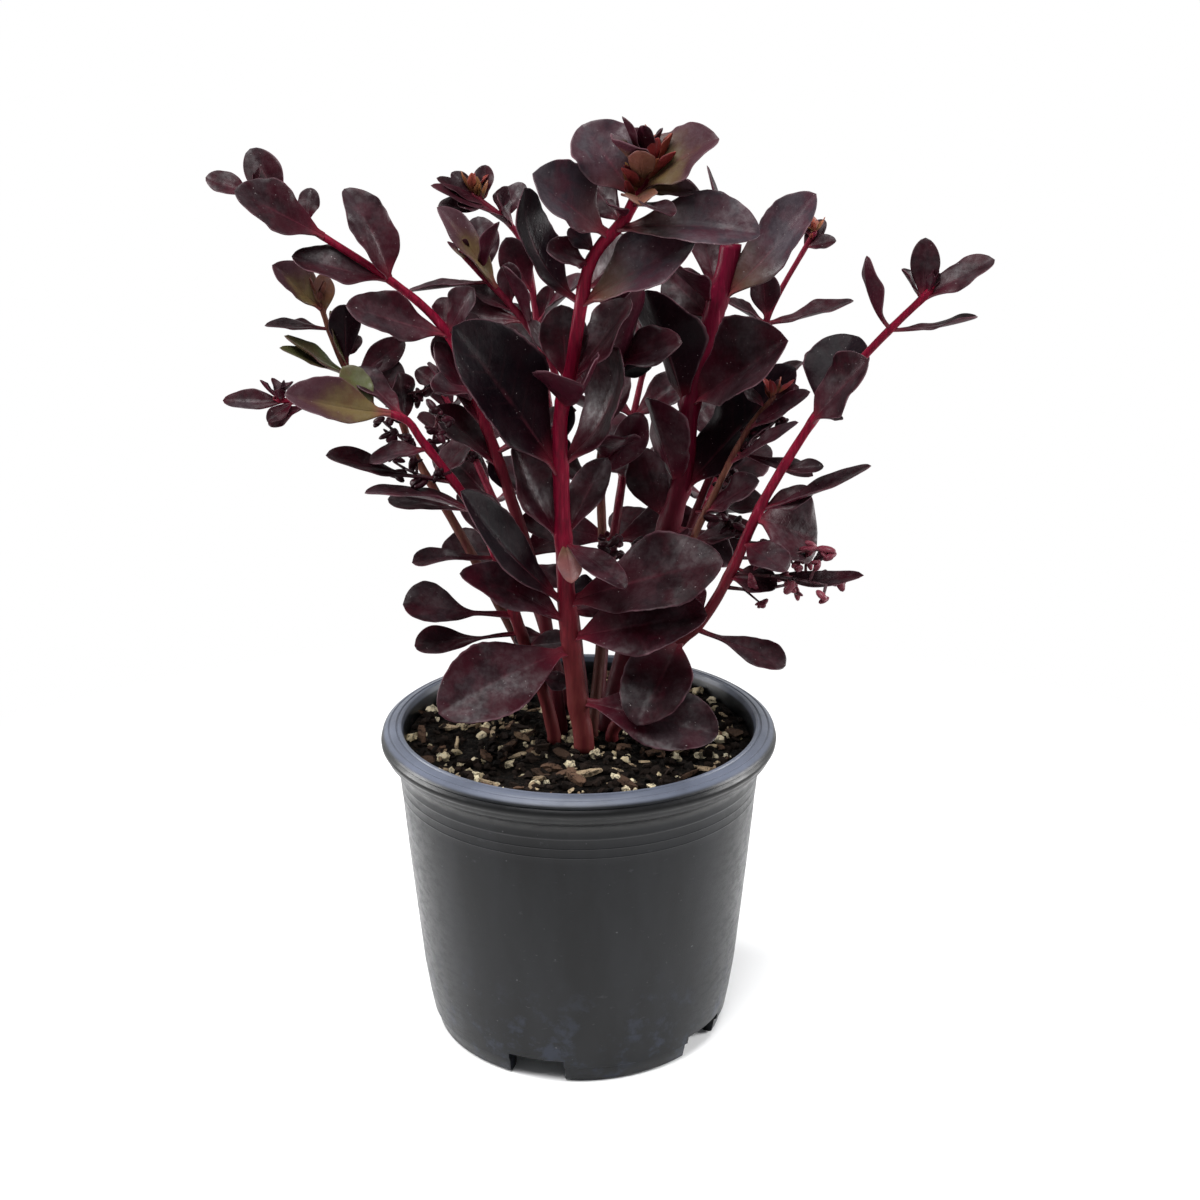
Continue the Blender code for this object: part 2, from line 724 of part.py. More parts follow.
def build_plant(parts, helpers, origin):
    """Every stem with the small leaves grown onto it, and its large leaves beside it."""
    stem_finish = material("stem_crimson", CRIMSON, 0.38)
    tones = {
        tone: material(f"leaf_{label}", tone, 0.42)
        for label, tone in (("maroon", MAROON), ("near_black", NEAR_BLACK), ("olive", OLIVE))
    }
    for label, stem in STEMS.items():
        line = stem_line(stem)
        solid = place(stem_solid(f"stem_{label}", stem), parts, origin, stem_finish)
        for index, leaf in enumerate(stem.shoots):
            grown = grown_leaf(f"shoot_{label}_{index + 1}", leaf, stem, line)
            boolean(solid, as_helper(place(grown, helpers, origin)), "UNION")
        for index, leaf in enumerate(stem.leaves):
            blade = seated_leaf(f"leaf_{label}_{index + 1}", leaf, stem, line, solid)
            place(blade, parts, origin, tones[leaf.tone])


def centre_footprint(parts, origin):
    """Moves the whole plant sideways until the middle of its bounding box is over the origin."""
    bpy.context.view_layer.update()
    graph = bpy.context.evaluated_depsgraph_get()
    corners = []
    for obj in parts.objects:
        if obj.type == "MESH":
            solid = obj.evaluated_get(graph)
            corners.extend(solid.matrix_world @ Vector(corner) for corner in solid.bound_box)
    for axis in (0, 1):
        values = [corner[axis] for corner in corners]
        origin.location[axis] = -(min(values) + max(values)) / 2


def main():
    for obj in list(bpy.data.objects):
        bpy.data.objects.remove(obj, do_unlink=True)
    parts = fresh_collection("potted_sedum")
    helpers = fresh_collection("potted_sedum_helpers")
    origin = bpy.data.objects.new("potted_sedum_origin", None)
    parts.objects.link(origin)
    build_pot(parts, helpers, origin, material("pot_plastic", POT_CHARCOAL, 0.45))
    build_soil(parts, origin, material("potting_mix", SOIL_BROWN, 0.9))
    build_plant(parts, helpers, origin)
    centre_footprint(parts, origin)


main()
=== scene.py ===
"""How the potted sedum looks: fleshy leaves, red stems, the plastic pot and what lies on the potting mix.

Lengths in the tables are millimetres from the middle of the pot's foot, and headings and tilts are degrees:
heading 0 is +X, heading 90 is +Y, and a rise of 90 is straight up.
"""

import json
import math
import random
from dataclasses import dataclass, field

import bmesh
import bpy
from mathutils import Matrix, Vector, noise


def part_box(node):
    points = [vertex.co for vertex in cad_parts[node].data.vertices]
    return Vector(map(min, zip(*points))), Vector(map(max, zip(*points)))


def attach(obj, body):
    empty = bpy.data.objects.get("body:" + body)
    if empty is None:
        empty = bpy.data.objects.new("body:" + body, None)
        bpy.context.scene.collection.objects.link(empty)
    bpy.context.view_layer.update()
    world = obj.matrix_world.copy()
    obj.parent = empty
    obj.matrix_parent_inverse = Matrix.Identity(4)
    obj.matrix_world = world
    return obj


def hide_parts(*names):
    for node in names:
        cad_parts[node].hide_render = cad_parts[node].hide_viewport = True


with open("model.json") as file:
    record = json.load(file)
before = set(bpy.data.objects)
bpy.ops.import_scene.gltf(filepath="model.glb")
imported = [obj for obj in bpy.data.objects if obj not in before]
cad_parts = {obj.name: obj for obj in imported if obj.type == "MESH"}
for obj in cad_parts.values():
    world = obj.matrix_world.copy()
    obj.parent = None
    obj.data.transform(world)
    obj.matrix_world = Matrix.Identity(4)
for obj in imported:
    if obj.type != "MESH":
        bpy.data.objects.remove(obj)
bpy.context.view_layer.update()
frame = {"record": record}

MM = 0.001
BODY = "root"
SLOTS = {part["node"]: part["material_slot"] for part in frame["record"]["subparts"]}
pot_low, pot_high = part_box("nursery_pot")
POT_AXIS = Vector(((pot_low.x + pot_high.x) / 2, (pot_low.y + pot_high.y) / 2, 0))
SOIL_TOP = 110.0

# Leaf tones, in linear colour.
MAROON = (0.0082, 0.0019, 0.0032)
NEAR_BLACK = (0.0024, 0.0011, 0.0020)
# A greyer tone for the leaves near the top, partly painted sheen.
DUSKY_WITH_SHEEN = (0.018, 0.0125, 0.0165)
OLIVE = (0.082, 0.058, 0.024)
GREEN = (0.056, 0.064, 0.022)
BROWN = (0.095, 0.040, 0.022)
BUD = (0.190, 0.022, 0.018)
GOLD = (0.190, 0.110, 0.026)
FLOWER = (0.125, 0.026, 0.036)
PINK = (0.130, 0.052, 0.048)
TWIG = (0.026, 0.007, 0.009)
# Stem tones.
CRIMSON = (0.118, 0.003, 0.014)
# A darker crimson for the thick stem inside the clump: painted shade.
SHADED_CRIMSON = (0.070, 0.002, 0.011)
WINE = (0.080, 0.006, 0.014)
BARK = (0.085, 0.034, 0.022)


@dataclass
class Leaf:
    """A leaf: where it sits along its stem, which way it points and how its blade is shaped.

    The plant grew with its light from -Y, so each leaf turns its face that way by the angle in turn,
    in full where it points along X and not at all where it points along Y.
    """

    at: float
    heading: float
    rise: float
    length: float
    width: float
    turn: float = 45
    bend: float = 0
    belly: float = 0.58
    cup: float = 0.22
    tone: tuple = MAROON


@dataclass
class Stem:
    """A stem: its foot on the mix, the points it grows through, its radii and its leaves.

    Its leaves are pieces of their own, and its shoots are the small ones grown together. The tuft at its
    tip is how many leaves it has, the longest one's length, their tone and the share of the stem they fill.
    """

    foot: tuple
    route: list
    foot_radius: float
    tip_radius: float
    shoots: list
    leaves: list = field(default_factory=list)
    tone: tuple = WINE
    tuft: tuple = ()
    cut: bool = False


# The stems at the back carry plain opposite pairs, each turned across the one below.
# Each pair's place on the stem, rise, length and width.
BACK_PAIRS = [
    (0.45, 15, 36, 18),
    (0.62, 25, 38, 19),
    (0.78, 35, 30, 15),
    (0.90, 45, 20, 11),
    (0.97, 60, 13, 8),
]


def back_shoots(outward):
    """The leaf pairs of a stem at the back, from the heading in which the stem leans."""
    leaves = []
    for index, (at, rise, length, width) in enumerate(BACK_PAIRS):
        across = outward + 90 * ((index + 1) % 2)
        leaves.append(Leaf(at, across, rise, length, width, bend=-15))
        leaves.append(Leaf(at, across + 180, rise, 0.9 * length, width, bend=-15))
    return leaves


STEMS = {
    "front": Stem(
        foot=(2, -11),
        route=[
            (-1, -8, 134), (-4, -7, 166), (-6, -8, 220), (-5, -9, 238), (-2, -10, 250),
            (3, -13, 281), (8, -14, 292), (16, -14, 301), (26, -13, 321),
        ],
        foot_radius=3.7,
        tip_radius=1.6,
        leaves=[
            Leaf(0.09, 350, -10, 48, 25, bend=-20, belly=0.62),
            Leaf(0.18, 210, -15, 51, 28, turn=55, bend=-20, belly=0.6),
            Leaf(0.20, 345, 15, 48, 26, bend=-20),
            Leaf(0.26, 345, 20, 56, 31, bend=-15, cup=0.1),
            Leaf(0.26, 210, 50, 59, 20, turn=60, bend=20, tone=NEAR_BLACK),
            Leaf(0.23, 200, 30, 42, 17, bend=-15),
            Leaf(0.36, 310, -15, 31, 12, turn=15, bend=-15),
            Leaf(0.49, 350, 65, 47, 27, turn=40, bend=75),
            Leaf(0.48, 205, 55, 63, 38, turn=65, bend=10, tone=NEAR_BLACK),
            Leaf(0.59, 285, 25, 28, 24, bend=40, cup=0.75),
            Leaf(0.75, 190, 65, 44, 20, bend=80, belly=0.6, tone=NEAR_BLACK),
            Leaf(0.75, 345, 30, 42, 26, bend=-10, tone=DUSKY_WITH_SHEEN),
            Leaf(0.88, 345, 0, 46, 23, turn=40, bend=-25, belly=0.6, cup=0.3, tone=DUSKY_WITH_SHEEN),
            Leaf(0.86, 195, 40, 31, 27, turn=50, bend=20, cup=0.3, tone=DUSKY_WITH_SHEEN),
            Leaf(0.93, 155, 50, 28, 27, turn=40, bend=10, tone=DUSKY_WITH_SHEEN),
            Leaf(0.94, 350, 35, 30, 24, turn=40, bend=-10, cup=0.3, tone=OLIVE),
        ],
        shoots=[
            Leaf(0.81, 215, 20, 16, 14, turn=50, bend=-10),
            Leaf(0.92, 295, 0, 27, 10, turn=0, bend=-20),
            Leaf(0.97, 205, 65, 19, 8, turn=10),
            Leaf(0.98, 255, 60, 15, 7),
            Leaf(0.98, 0, 70, 12, 7, turn=0),
            Leaf(0.96, 265, 35, 18, 9, bend=20, tone=BROWN),
            Leaf(0.62, 25, 50, 34, 21, turn=10, bend=10),
            Leaf(0.62, 100, 70, 25, 17, bend=10),
            Leaf(0.37, 45, 50, 30, 15, turn=20, bend=10),
            Leaf(0.36, 175, 65, 37, 20, turn=30, bend=25),
            Leaf(0.90, 240, 25, 11, 9, bend=-10),
            Leaf(0.97, 230, 35, 20, 15, turn=30, cup=0.3, tone=OLIVE),
            Leaf(0.93, 275, 0, 15, 12, bend=-30, cup=0.3, tone=BROWN),
            Leaf(0.99, 145, 55, 11, 6),
            Leaf(0.89, 120, 25, 24, 15, turn=100),
            Leaf(0.24, 40, 0, 23, 16, turn=60),
            Leaf(0.77, 55, 20, 32, 16, turn=100),
        ],
        tone=CRIMSON,
        tuft=(34, 13, BUD, 0.075),
    ),
    "upper_left": Stem(
        foot=(-7, 5),
        route=[
            (-14, 17, 158), (-26, 22, 200), (-38, 26, 234), (-47, 28, 255), (-68, 30, 274),
            (-116, 34, 304),
        ],
        foot_radius=2.8,
        tip_radius=1,
        leaves=[
            Leaf(0.64, 200, 20, 37, 19, turn=50, bend=10),
            Leaf(0.76, 180, 65, 34, 18, bend=-50, belly=0.5),
            Leaf(0.76, 185, 15, 33, 17, turn=35, bend=15),
            Leaf(0.87, 200, 30, 34, 21, turn=50),
        ],
        shoots=[
            Leaf(0.43, 165, 40, 30, 18, turn=20),
            Leaf(0.45, 350, 30, 32, 17, turn=20),
            Leaf(0.53, 150, 55, 27, 17, turn=30),
            Leaf(0.55, 240, 10, 22, 15),
            Leaf(0.61, 80, 35, 18, 12),
            Leaf(0.90, 80, 60, 13, 8),
            Leaf(0.94, 145, 55, 24, 13, turn=60),
            Leaf(0.99, 180, 20, 16, 10),
            Leaf(0.49, 165, 60, 34, 16, turn=30),
            Leaf(0.65, 90, 45, 12, 10),
            Leaf(0.64, 345, 60, 18, 14, turn=60),
        ],
        tone=CRIMSON,
        tuft=(6, 10, MAROON, 0.03),
    ),
    "left": Stem(
        foot=(-9, -4),
        route=[
            (-13, -2, 130), (-22, -3, 157), (-32, -8, 192), (-52, -12, 224), (-63, -13, 235),
            (-103, -13, 240),
        ],
        foot_radius=2.5,
        tip_radius=0.9,
        leaves=[
            Leaf(0.25, 185, -5, 36, 12, turn=35, bend=-10, belly=0.8),
            Leaf(0.29, 190, 10, 38, 18, turn=35, belly=0.8),
            Leaf(0.53, 200, 15, 38, 12, turn=5, bend=-25),
            Leaf(0.60, 190, 15, 43, 12, turn=20, bend=15, belly=0.8),
            Leaf(0.78, 200, 15, 36, 17, turn=50, bend=10, cup=0.35, tone=OLIVE),
        ],
        shoots=[
            Leaf(0.45, 120, 35, 24, 16, turn=0),
            Leaf(0.68, 195, -10, 19, 12, turn=15, bend=-15),
            Leaf(0.76, 145, 35, 24, 14, turn=0),
            Leaf(0.93, 190, -25, 15, 7, bend=-20, belly=0.7),
            Leaf(0.97, 175, 0, 22, 8),
            Leaf(0.96, 220, -25, 11, 6),
            Leaf(0.42, 190, 0, 28, 11, turn=20, bend=-20, belly=0.8),
            Leaf(0.53, 170, 5, 29, 10, turn=30, belly=0.75),
            Leaf(0.81, 160, 50, 17, 12, turn=30, bend=10, tone=GREEN),
        ],
        tone=CRIMSON,
        tuft=(6, 9, MAROON, 0.03),
    ),
    "brown_left": Stem(
        foot=(-10, 16),
        route=[
            (-22, 24, 138), (-43, 36, 175), (-61, 41, 207), (-68, 44, 224), (-85, 46, 237),
            (-96, 50, 266),
        ],
        foot_radius=2.3,
        tip_radius=0.9,
        leaves=[
            Leaf(0.84, 280, 75, 24, 12, turn=0, belly=0.65, tone=NEAR_BLACK),
            Leaf(0.96, 190, 45, 23, 15, bend=20, cup=0.4, tone=OLIVE),
        ],
        shoots=[
            Leaf(0.55, 10, 45, 30, 17, turn=20),
            Leaf(0.68, 225, 85, 18, 14, turn=110),
            Leaf(0.83, 180, 75, 22, 8, turn=30, tone=GREEN),
            Leaf(0.81, 190, 35, 29, 11, turn=10, bend=10, tone=GREEN),
            Leaf(0.92, 160, 0, 24, 9, turn=5),
            Leaf(0.92, 190, 5, 22, 9, turn=10),
            Leaf(0.81, 15, 35, 22, 11, turn=70),
            Leaf(0.76, 25, 50, 13, 12, turn=65),
        ],
        tone=BARK,
        tuft=(6, 9, BROWN, 0.03),
    ),
    "thin_left": Stem(
        foot=(-1, 12),
        route=[(-4, 27, 150), (-5, 36, 200), (-8, 39, 235), (-19, 42, 255), (-43, 46, 281)],
        foot_radius=1.8,
        tip_radius=1.2,
        shoots=[
            Leaf(0.43, 165, 30, 34, 22, turn=0),
            Leaf(0.74, 200, 60, 14, 10),
            Leaf(0.79, 205, 65, 27, 13, turn=0),
            Leaf(0.84, 165, 25, 24, 9, turn=20),
            Leaf(0.92, 190, -5, 28, 10, turn=0),
            Leaf(0.93, 105, 60, 22, 13),
            Leaf(0.94, 320, 65, 20, 11, turn=15),
            Leaf(0.90, 190, 55, 35, 13, cup=0.3, tone=OLIVE),
            Leaf(0.82, 170, 5, 32, 14, turn=60),
        ],
        tuft=(6, 10, OLIVE, 0.03),
    ),
    "back_left": Stem(
        foot=(2, 23),
        route=[(-7, 50, 186), (-16, 66, 252), (-22, 72, 281), (-41, 76, 298)],
        foot_radius=2,
        tip_radius=1,
        shoots=[
            Leaf(0.62, 130, 45, 34, 18, bend=-15),
            Leaf(0.72, 320, 40, 30, 15, bend=-10),
            Leaf(0.90, 200, 65, 13, 8),
            Leaf(0.92, 50, 50, 15, 9),
            Leaf(0.96, 180, 0, 17, 9),
            Leaf(0.97, 80, 65, 13, 8),
            Leaf(0.98, 160, 40, 13, 7),
            Leaf(0.78, 180, 65, 21, 13, turn=80),
            Leaf(0.93, 190, 25, 27, 8, turn=30),
            Leaf(0.95, 180, 30, 22, 8, turn=30),
            Leaf(0.93, 0, 75, 10, 8),
            Leaf(0.90, 205, 35, 10, 7, turn=0),
            Leaf(0.96, 210, 5, 11, 8),
        ],
        tuft=(12, 9, BUD, 0.03),
    ),
    "tall_right": Stem(
        foot=(11, 9),
        route=[
            (23, 26, 154), (37, 34, 195), (40, 37, 223), (46, 40, 248), (53, 43, 275),
            (55, 44, 286),
        ],
        foot_radius=4.4,
        tip_radius=3.5,
        leaves=[
            Leaf(0.50, 355, 50, 59, 31, turn=40, tone=NEAR_BLACK),
            Leaf(0.51, 215, 70, 34, 28, turn=0),
            Leaf(0.67, 200, 70, 43, 30, turn=-25, tone=NEAR_BLACK),
            Leaf(0.68, 325, 35, 44, 32, turn=75, cup=0.4),
            Leaf(0.88, 350, 50, 48, 23, turn=50, bend=15, tone=DUSKY_WITH_SHEEN),
        ],
        shoots=[
            Leaf(0.43, 330, -25, 24, 17, turn=25),
            Leaf(0.78, 110, 20, 24, 20, turn=0),
            Leaf(0.76, 20, 25, 24, 18, turn=20),
            Leaf(0.87, 205, 40, 23, 18, turn=0),
            Leaf(0.89, 110, 50, 34, 18, turn=0, bend=-15),
            Leaf(0.98, 165, 75, 27, 6, turn=0),
            Leaf(0.42, 275, 0, 19, 13, bend=60, belly=0.6, cup=0.6),
            Leaf(0.97, 165, 60, 27, 8, turn=0),
            Leaf(0.44, 140, 65, 25, 17, turn=90),
            Leaf(0.84, 140, 35, 21, 17, turn=80),
        ],
        tone=SHADED_CRIMSON,
        cut=True,
    ),
    "far_right": Stem(
        foot=(17, 23),
        route=[(43, 55, 177), (61, 66, 221), (71, 72, 252), (84, 76, 276), (89, 77, 284)],
        foot_radius=2,
        tip_radius=0.9,
        leaves=[
            Leaf(0.80, 0, 15, 33, 12, turn=10, bend=15),
        ],
        shoots=[
            Leaf(0.42, 330, 10, 30, 22, turn=0),
            Leaf(0.66, 30, 20, 28, 14, turn=0, bend=10),
            Leaf(0.80, 200, 30, 17, 12, turn=20),
            Leaf(0.95, 30, 50, 14, 7),
            Leaf(0.96, 340, 15, 11, 7),
            Leaf(0.98, 150, 60, 9, 5),
            Leaf(0.81, 175, 85, 17, 12, turn=75),
        ],
        tuft=(8, 8, BUD, 0.03),
    ),
    "right": Stem(
        foot=(12, -2),
        route=[
            (32, 0, 143), (44, 0, 156), (54, 0, 174), (65, -3, 202), (82, -6, 233),
            (98, -8, 255), (119, -11, 278),
        ],
        foot_radius=2.3,
        tip_radius=1.2,
        leaves=[
            Leaf(0.27, 350, -20, 33, 14, turn=30, bend=-10, belly=0.75),
            Leaf(0.50, 15, -25, 24, 32, cup=0.15),
            Leaf(0.52, 350, 25, 40, 11, turn=10, bend=15, belly=0.65),
            Leaf(0.70, 325, 50, 30, 22, turn=70),
            Leaf(0.72, 50, 50, 29, 24, turn=10, tone=NEAR_BLACK),
            Leaf(0.90, 190, 70, 26, 11, turn=-10, bend=50),
            Leaf(0.90, 355, 10, 28, 10, turn=0, bend=20, belly=0.7),
            Leaf(0.23, 235, -40, 34, 26, turn=25, bend=-25, belly=0.52),
        ],
        shoots=[
            Leaf(0.38, 345, -5, 16, 12, turn=40, bend=-30),
            Leaf(0.40, 350, 0, 45, 9, turn=20, bend=40, belly=0.7),
            Leaf(0.45, 305, -10, 22, 14, turn=35),
            Leaf(0.71, 335, 0, 8, 6, turn=10),
            Leaf(0.97, 0, 30, 26, 13, turn=30),
            Leaf(0.97, 70, 80, 19, 10),
            Leaf(0.97, 180, 55, 11, 8, turn=10),
        ],
        tone=CRIMSON,
        tuft=(6, 9, MAROON, 0.03),
    ),
    "middle": Stem(
        foot=(5, 2),
        route=[(9, 18, 157), (8, 26, 201), (10, 28, 232), (14, 30, 262)],
        foot_radius=2,
        tip_radius=1.3,
        shoots=[
            Leaf(0.59, 185, 35, 32, 18, turn=20),
            Leaf(0.66, 290, 30, 26, 18, turn=0),
            Leaf(0.72, 80, 40, 30, 17),
            Leaf(0.76, 205, 30, 26, 22, turn=0),
            Leaf(0.80, 195, 50, 30, 17, turn=20),
            Leaf(0.88, 335, 20, 28, 18),
            Leaf(0.97, 315, 65, 28, 16, turn=15),
            Leaf(0.97, 200, 60, 24, 15, turn=0),
            Leaf(0.80, 320, 70, 44, 20, turn=0, bend=10),
            Leaf(0.62, 325, 55, 30, 13, turn=-100),
        ],
        tone=BARK,
    ),
    "bud_branch": Stem(
        foot=(20, 12),
        route=[(34, 18, 162), (48, 16, 197), (60, 19, 221), (71, 23, 234)],
        foot_radius=1.9,
        tip_radius=0.9,
        shoots=[
            Leaf(0.54, 20, 10, 24, 14, turn=20),
            Leaf(0.81, 335, -10, 29, 8, turn=30, belly=0.7),
            Leaf(0.96, 10, 30, 12, 7),
            Leaf(0.95, 190, 40, 10, 6),
            Leaf(0.64, 335, 35, 23, 15, turn=40),
            Leaf(0.88, 340, 35, 26, 9),
            Leaf(0.78, 330, 35, 31, 8, turn=35),
        ],
        tone=BARK,
        tuft=(8, 8, BUD, 0.03),
    ),
    "back_middle": Stem(
        foot=(7, 31),
        route=[(12, 59, 160), (20, 80, 208), (28, 94, 240)],
        foot_radius=2.6,
        tip_radius=1,
        shoots=back_shoots(100),
    ),
    "back_far_left": Stem(
        foot=(-5, 30),
        route=[(-20, 55, 152), (-40, 80, 192), (-56, 94, 222)],
        foot_radius=2.4,
        tip_radius=1,
        shoots=back_shoots(130),
    ),
    "back_far_right": Stem(
        foot=(18, 33),
        route=[(38, 65, 158), (58, 86, 196), (72, 98, 224)],
        foot_radius=2.4,
        tip_radius=1,
        shoots=back_shoots(45),
    ),
}


# ---- Finishes ------------------------------------------------------------------------------------------
class Value:
    """A number or colour in a finish. Sums written with it become Math nodes."""

    def __init__(self, finish, socket):
        self.finish = finish
        self.socket = socket

    def sum(self, operation, first, second=None):
        return self.finish.sum_of(operation, first, second)

    def __add__(self, other):
        return self.sum("ADD", self, other)

    def __radd__(self, other):
        return self.sum("ADD", other, self)

    def __sub__(self, other):
        return self.sum("SUBTRACT", self, other)

    def __rsub__(self, other):
        return self.sum("SUBTRACT", other, self)

    def __mul__(self, other):
        return self.sum("MULTIPLY", self, other)

    def __abs__(self):
        return self.sum("ABSOLUTE", self)


class Made:
    """A node that a finish has added: its outputs by name."""

    def __init__(self, finish, node):
        self.finish = finish
        self.node = node

    def __getitem__(self, output):
        return Value(self.finish, self.node.outputs[output])


class Tree:
    """The nodes of a finish or of the sky."""

    def __init__(self, tree):
        self.tree = tree

    def add(self, kind, inputs=None, **settings):
        """Adds a node: its settings first, then a value or a link for each socket named."""
        node = self.tree.nodes.new(kind)
        for name, value in settings.items():
            setattr(node, name, value)
        for name, value in (inputs or {}).items():
            self.feed(node.inputs[name], value)
        return Made(self, node)

    def feed(self, socket, value):
        """Links a value to a socket, or sets the socket where the value is plain."""
        if isinstance(value, Value):
            self.tree.links.new(value.socket, socket)
        elif isinstance(value, tuple) and len(value) == 3 and socket.type == "RGBA":
            socket.default_value = (*value, 1.0)
        elif value is not None:
            socket.default_value = value

    def sum_of(self, operation, first, second=None):
        """A Math node of this operation."""
        return self.add("ShaderNodeMath", {0: first, 1: second}, operation=operation)["Value"]


class Finish(Tree):
    """A material and its nodes."""

    def __init__(self, name):
        self.material = bpy.data.materials.new(name)
        self.material.use_nodes = True
        super().__init__(self.material.node_tree)
        self.skin = self.tree.nodes["Principled BSDF"]

    def set(self, **sockets):
        """Feeds the skin's own sockets; an underscore in a name stands for a space."""
        for name, value in sockets.items():
            self.feed(self.skin.inputs[name.replace("_", " ")], value)

    def place(self, stretch=(1.0, 1.0, 1.0)):
        """Object coordinates, stretched where the pattern has a grain."""
        spot = self.add("ShaderNodeTexCoord")["Object"]
        if stretch == (1.0, 1.0, 1.0):
            return spot
        return self.add("ShaderNodeMapping", {"Vector": spot, "Scale": stretch})["Vector"]

    def noise(self, size, detail=3.0, rough=0.5, spot=None):
        """Cloudy noise whose lumps are about this many millimetres across."""
        spot = spot or self.place()
        inputs = {"Vector": spot, "Scale": 1.0 / (size * MM), "Detail": detail, "Roughness": rough}
        return self.add("ShaderNodeTexNoise", inputs)["Fac"]

    def step(self, value, low, high, to_low=0.0, to_high=1.0):
        """A smooth step from one value to another as the input goes from low to high."""
        inputs = {"Value": value, "From Min": low, "From Max": high, "To Min": to_low, "To Max": to_high}
        return self.add("ShaderNodeMapRange", inputs, interpolation_type="SMOOTHSTEP")["Result"]

    def mix(self, share, first, second):
        """One colour into another."""
        made = self.add("ShaderNodeMix", {0: share, 6: first, 7: second}, data_type="RGBA")
        return Value(self, made.node.outputs[2])

    def bump(self, height, depth, strength):
        """A bump of this depth in millimetres."""
        inputs = {"Height": height, "Distance": depth * MM, "Strength": strength}
        return self.add("ShaderNodeBump", inputs)["Normal"]

    def split(self, vector):
        """The parts of a vector: X, Y and Z."""
        return self.add("ShaderNodeSeparateXYZ", {"Vector": vector})

    def layer(self, name):
        """What the piece's own layer of this name says."""
        return self.add("ShaderNodeAttribute", attribute_name=name)

    def across_and_along(self):
        """Where a spot lies on a blade or a stalk: X across or around it, and Y along it."""
        return self.split(self.add("ShaderNodeUVMap", uv_map="blade")["UV"])


def leaf_finish():
    """Waxy leaf skin: mottled dark flesh, a paler midrib, a paler margin that is partly a painted highlight,
    a red petiole and a grey bloom that is partly painted sheen.
    """
    skin = Finish("leaf_skin")
    tone = skin.layer("tone")
    blade = skin.across_and_along()
    side = abs(blade["X"] * 2.0 - 1.0)
    along = blade["Y"]
    under = skin.split(skin.layer("face")["Vector"])["X"]

    cloud = skin.noise(9.0, 3.0, 0.6)
    bloom = skin.noise(15.0, 4.0, 0.65)
    mottle = skin.noise(2.2, 5.0, 0.65)
    grain = skin.noise(0.5, 2.0, 0.5)
    dust = skin.noise(0.9, 2.0, 0.5)

    # The tone, redder in patches, with a grey bloom where the wax is thick, partly painted sheen on the
    # upper face. The darkest leaves have least of both.
    hue = skin.split(tone["Vector"])
    lively = skin.step(hue["X"], 0.002, 0.011, 0.12, 1.0)
    flesh = skin.mix(skin.step(cloud, 0.40, 0.62) * lively * 0.30, tone["Color"], (0.048, 0.003, 0.009))
    # Young olive leaves turn maroon toward the tip and the margin; grey ones are olive near the stem.
    young = skin.step(hue["Y"] - hue["X"] * 0.5, 0.004, 0.010)
    dusky = skin.step(hue["X"], 0.014, 0.022) * (1.0 - young)
    aged = skin.step(along + side * 0.25 + cloud * 0.5, 0.62, 1.15)
    fresh = skin.step(hue["Y"] - hue["X"], -0.004, 0.004, 0.0, 0.8)
    flesh = skin.mix(young * aged * (1.0 - fresh), flesh, (0.034, 0.013, 0.017))
    # A grey bloom on the upper face, most on the greyer leaves: partly wax, partly painted sheen.
    bloom_and_sheen = skin.step(bloom, 0.42, 0.66) * (1.0 - under)
    flesh = skin.mix(bloom_and_sheen * lively * (0.16 + dusky * 0.20), flesh, (0.066, 0.054, 0.062))
    flesh = skin.mix(under * lively * 0.35, flesh, (0.044, 0.005, 0.013))
    near = skin.step(along + cloud * 0.3, 0.20, 0.72, 1.0, 0.0)
    flesh = skin.mix(near * dusky * 0.65, flesh, (0.075, 0.052, 0.020))
    flesh = skin.mix(near * lively * (1.0 - young) * (1.0 - dusky) * 0.45, flesh, (0.062, 0.005, 0.013))
    # The midrib, the side veins, the petiole and the margin.
    rib = skin.step(side, 0.0, 0.085, 1.0, 0.0) * skin.step(along, 0.35, 0.95, 1.0, 0.0)
    flesh = skin.mix(rib * skin.step(cloud, 0.3, 0.6, 0.02, 0.18), flesh, (0.110, 0.022, 0.034))
    vein = skin.sum_of("SINE", along * 58.0 - side * 13.0)
    vein = skin.step(vein, 0.72, 1.0) * skin.step(side, 0.05, 0.9, 1.0, 0.0)
    flesh = skin.mix(vein * 0.02, flesh, (0.120, 0.035, 0.045))
    petiole = skin.step(along, 0.03, 0.22, 1.0, 0.0)
    flesh = skin.mix(petiole * 0.70, flesh, (0.105, 0.010, 0.018))
    # The paler, pinkish margin: partly its own colour, partly a painted highlight along the edge.
    rim = skin.step(side, 0.92, 1.0) * skin.step(cloud, 0.40, 0.60, 0.3, 1.0)
    flesh = skin.mix(rim * 0.60, flesh, (0.105, 0.050, 0.062))
    speck = skin.step(dust, 0.73, 0.77)
    flesh = skin.mix(speck * 0.5, flesh, (0.30, 0.26, 0.26))

    shine = skin.step(bloom, 0.35, 0.65, 0.05, 0.24) * skin.step(mottle, 0.38, 0.62, 0.45, 1.6)
    wrinkle = skin.noise(3.2, 3.0, 0.6, skin.place((1.0, 1.0, 0.6)))
    height = wrinkle * 0.8 + mottle * 0.22 + grain * 0.08 - rib * 0.5 + vein * 0.08
    skin.set(
        Base_Color=flesh,
        Roughness=skin.step(mottle, 0.3, 0.7, 0.32, 0.46) + bloom_and_sheen * 0.07,
        Specular_IOR_Level=0.03,
        Coat_Weight=lively * shine,
        Coat_Roughness=0.36,
        Normal=skin.bump(height, 0.50, 0.7),
    )
    return skin.material


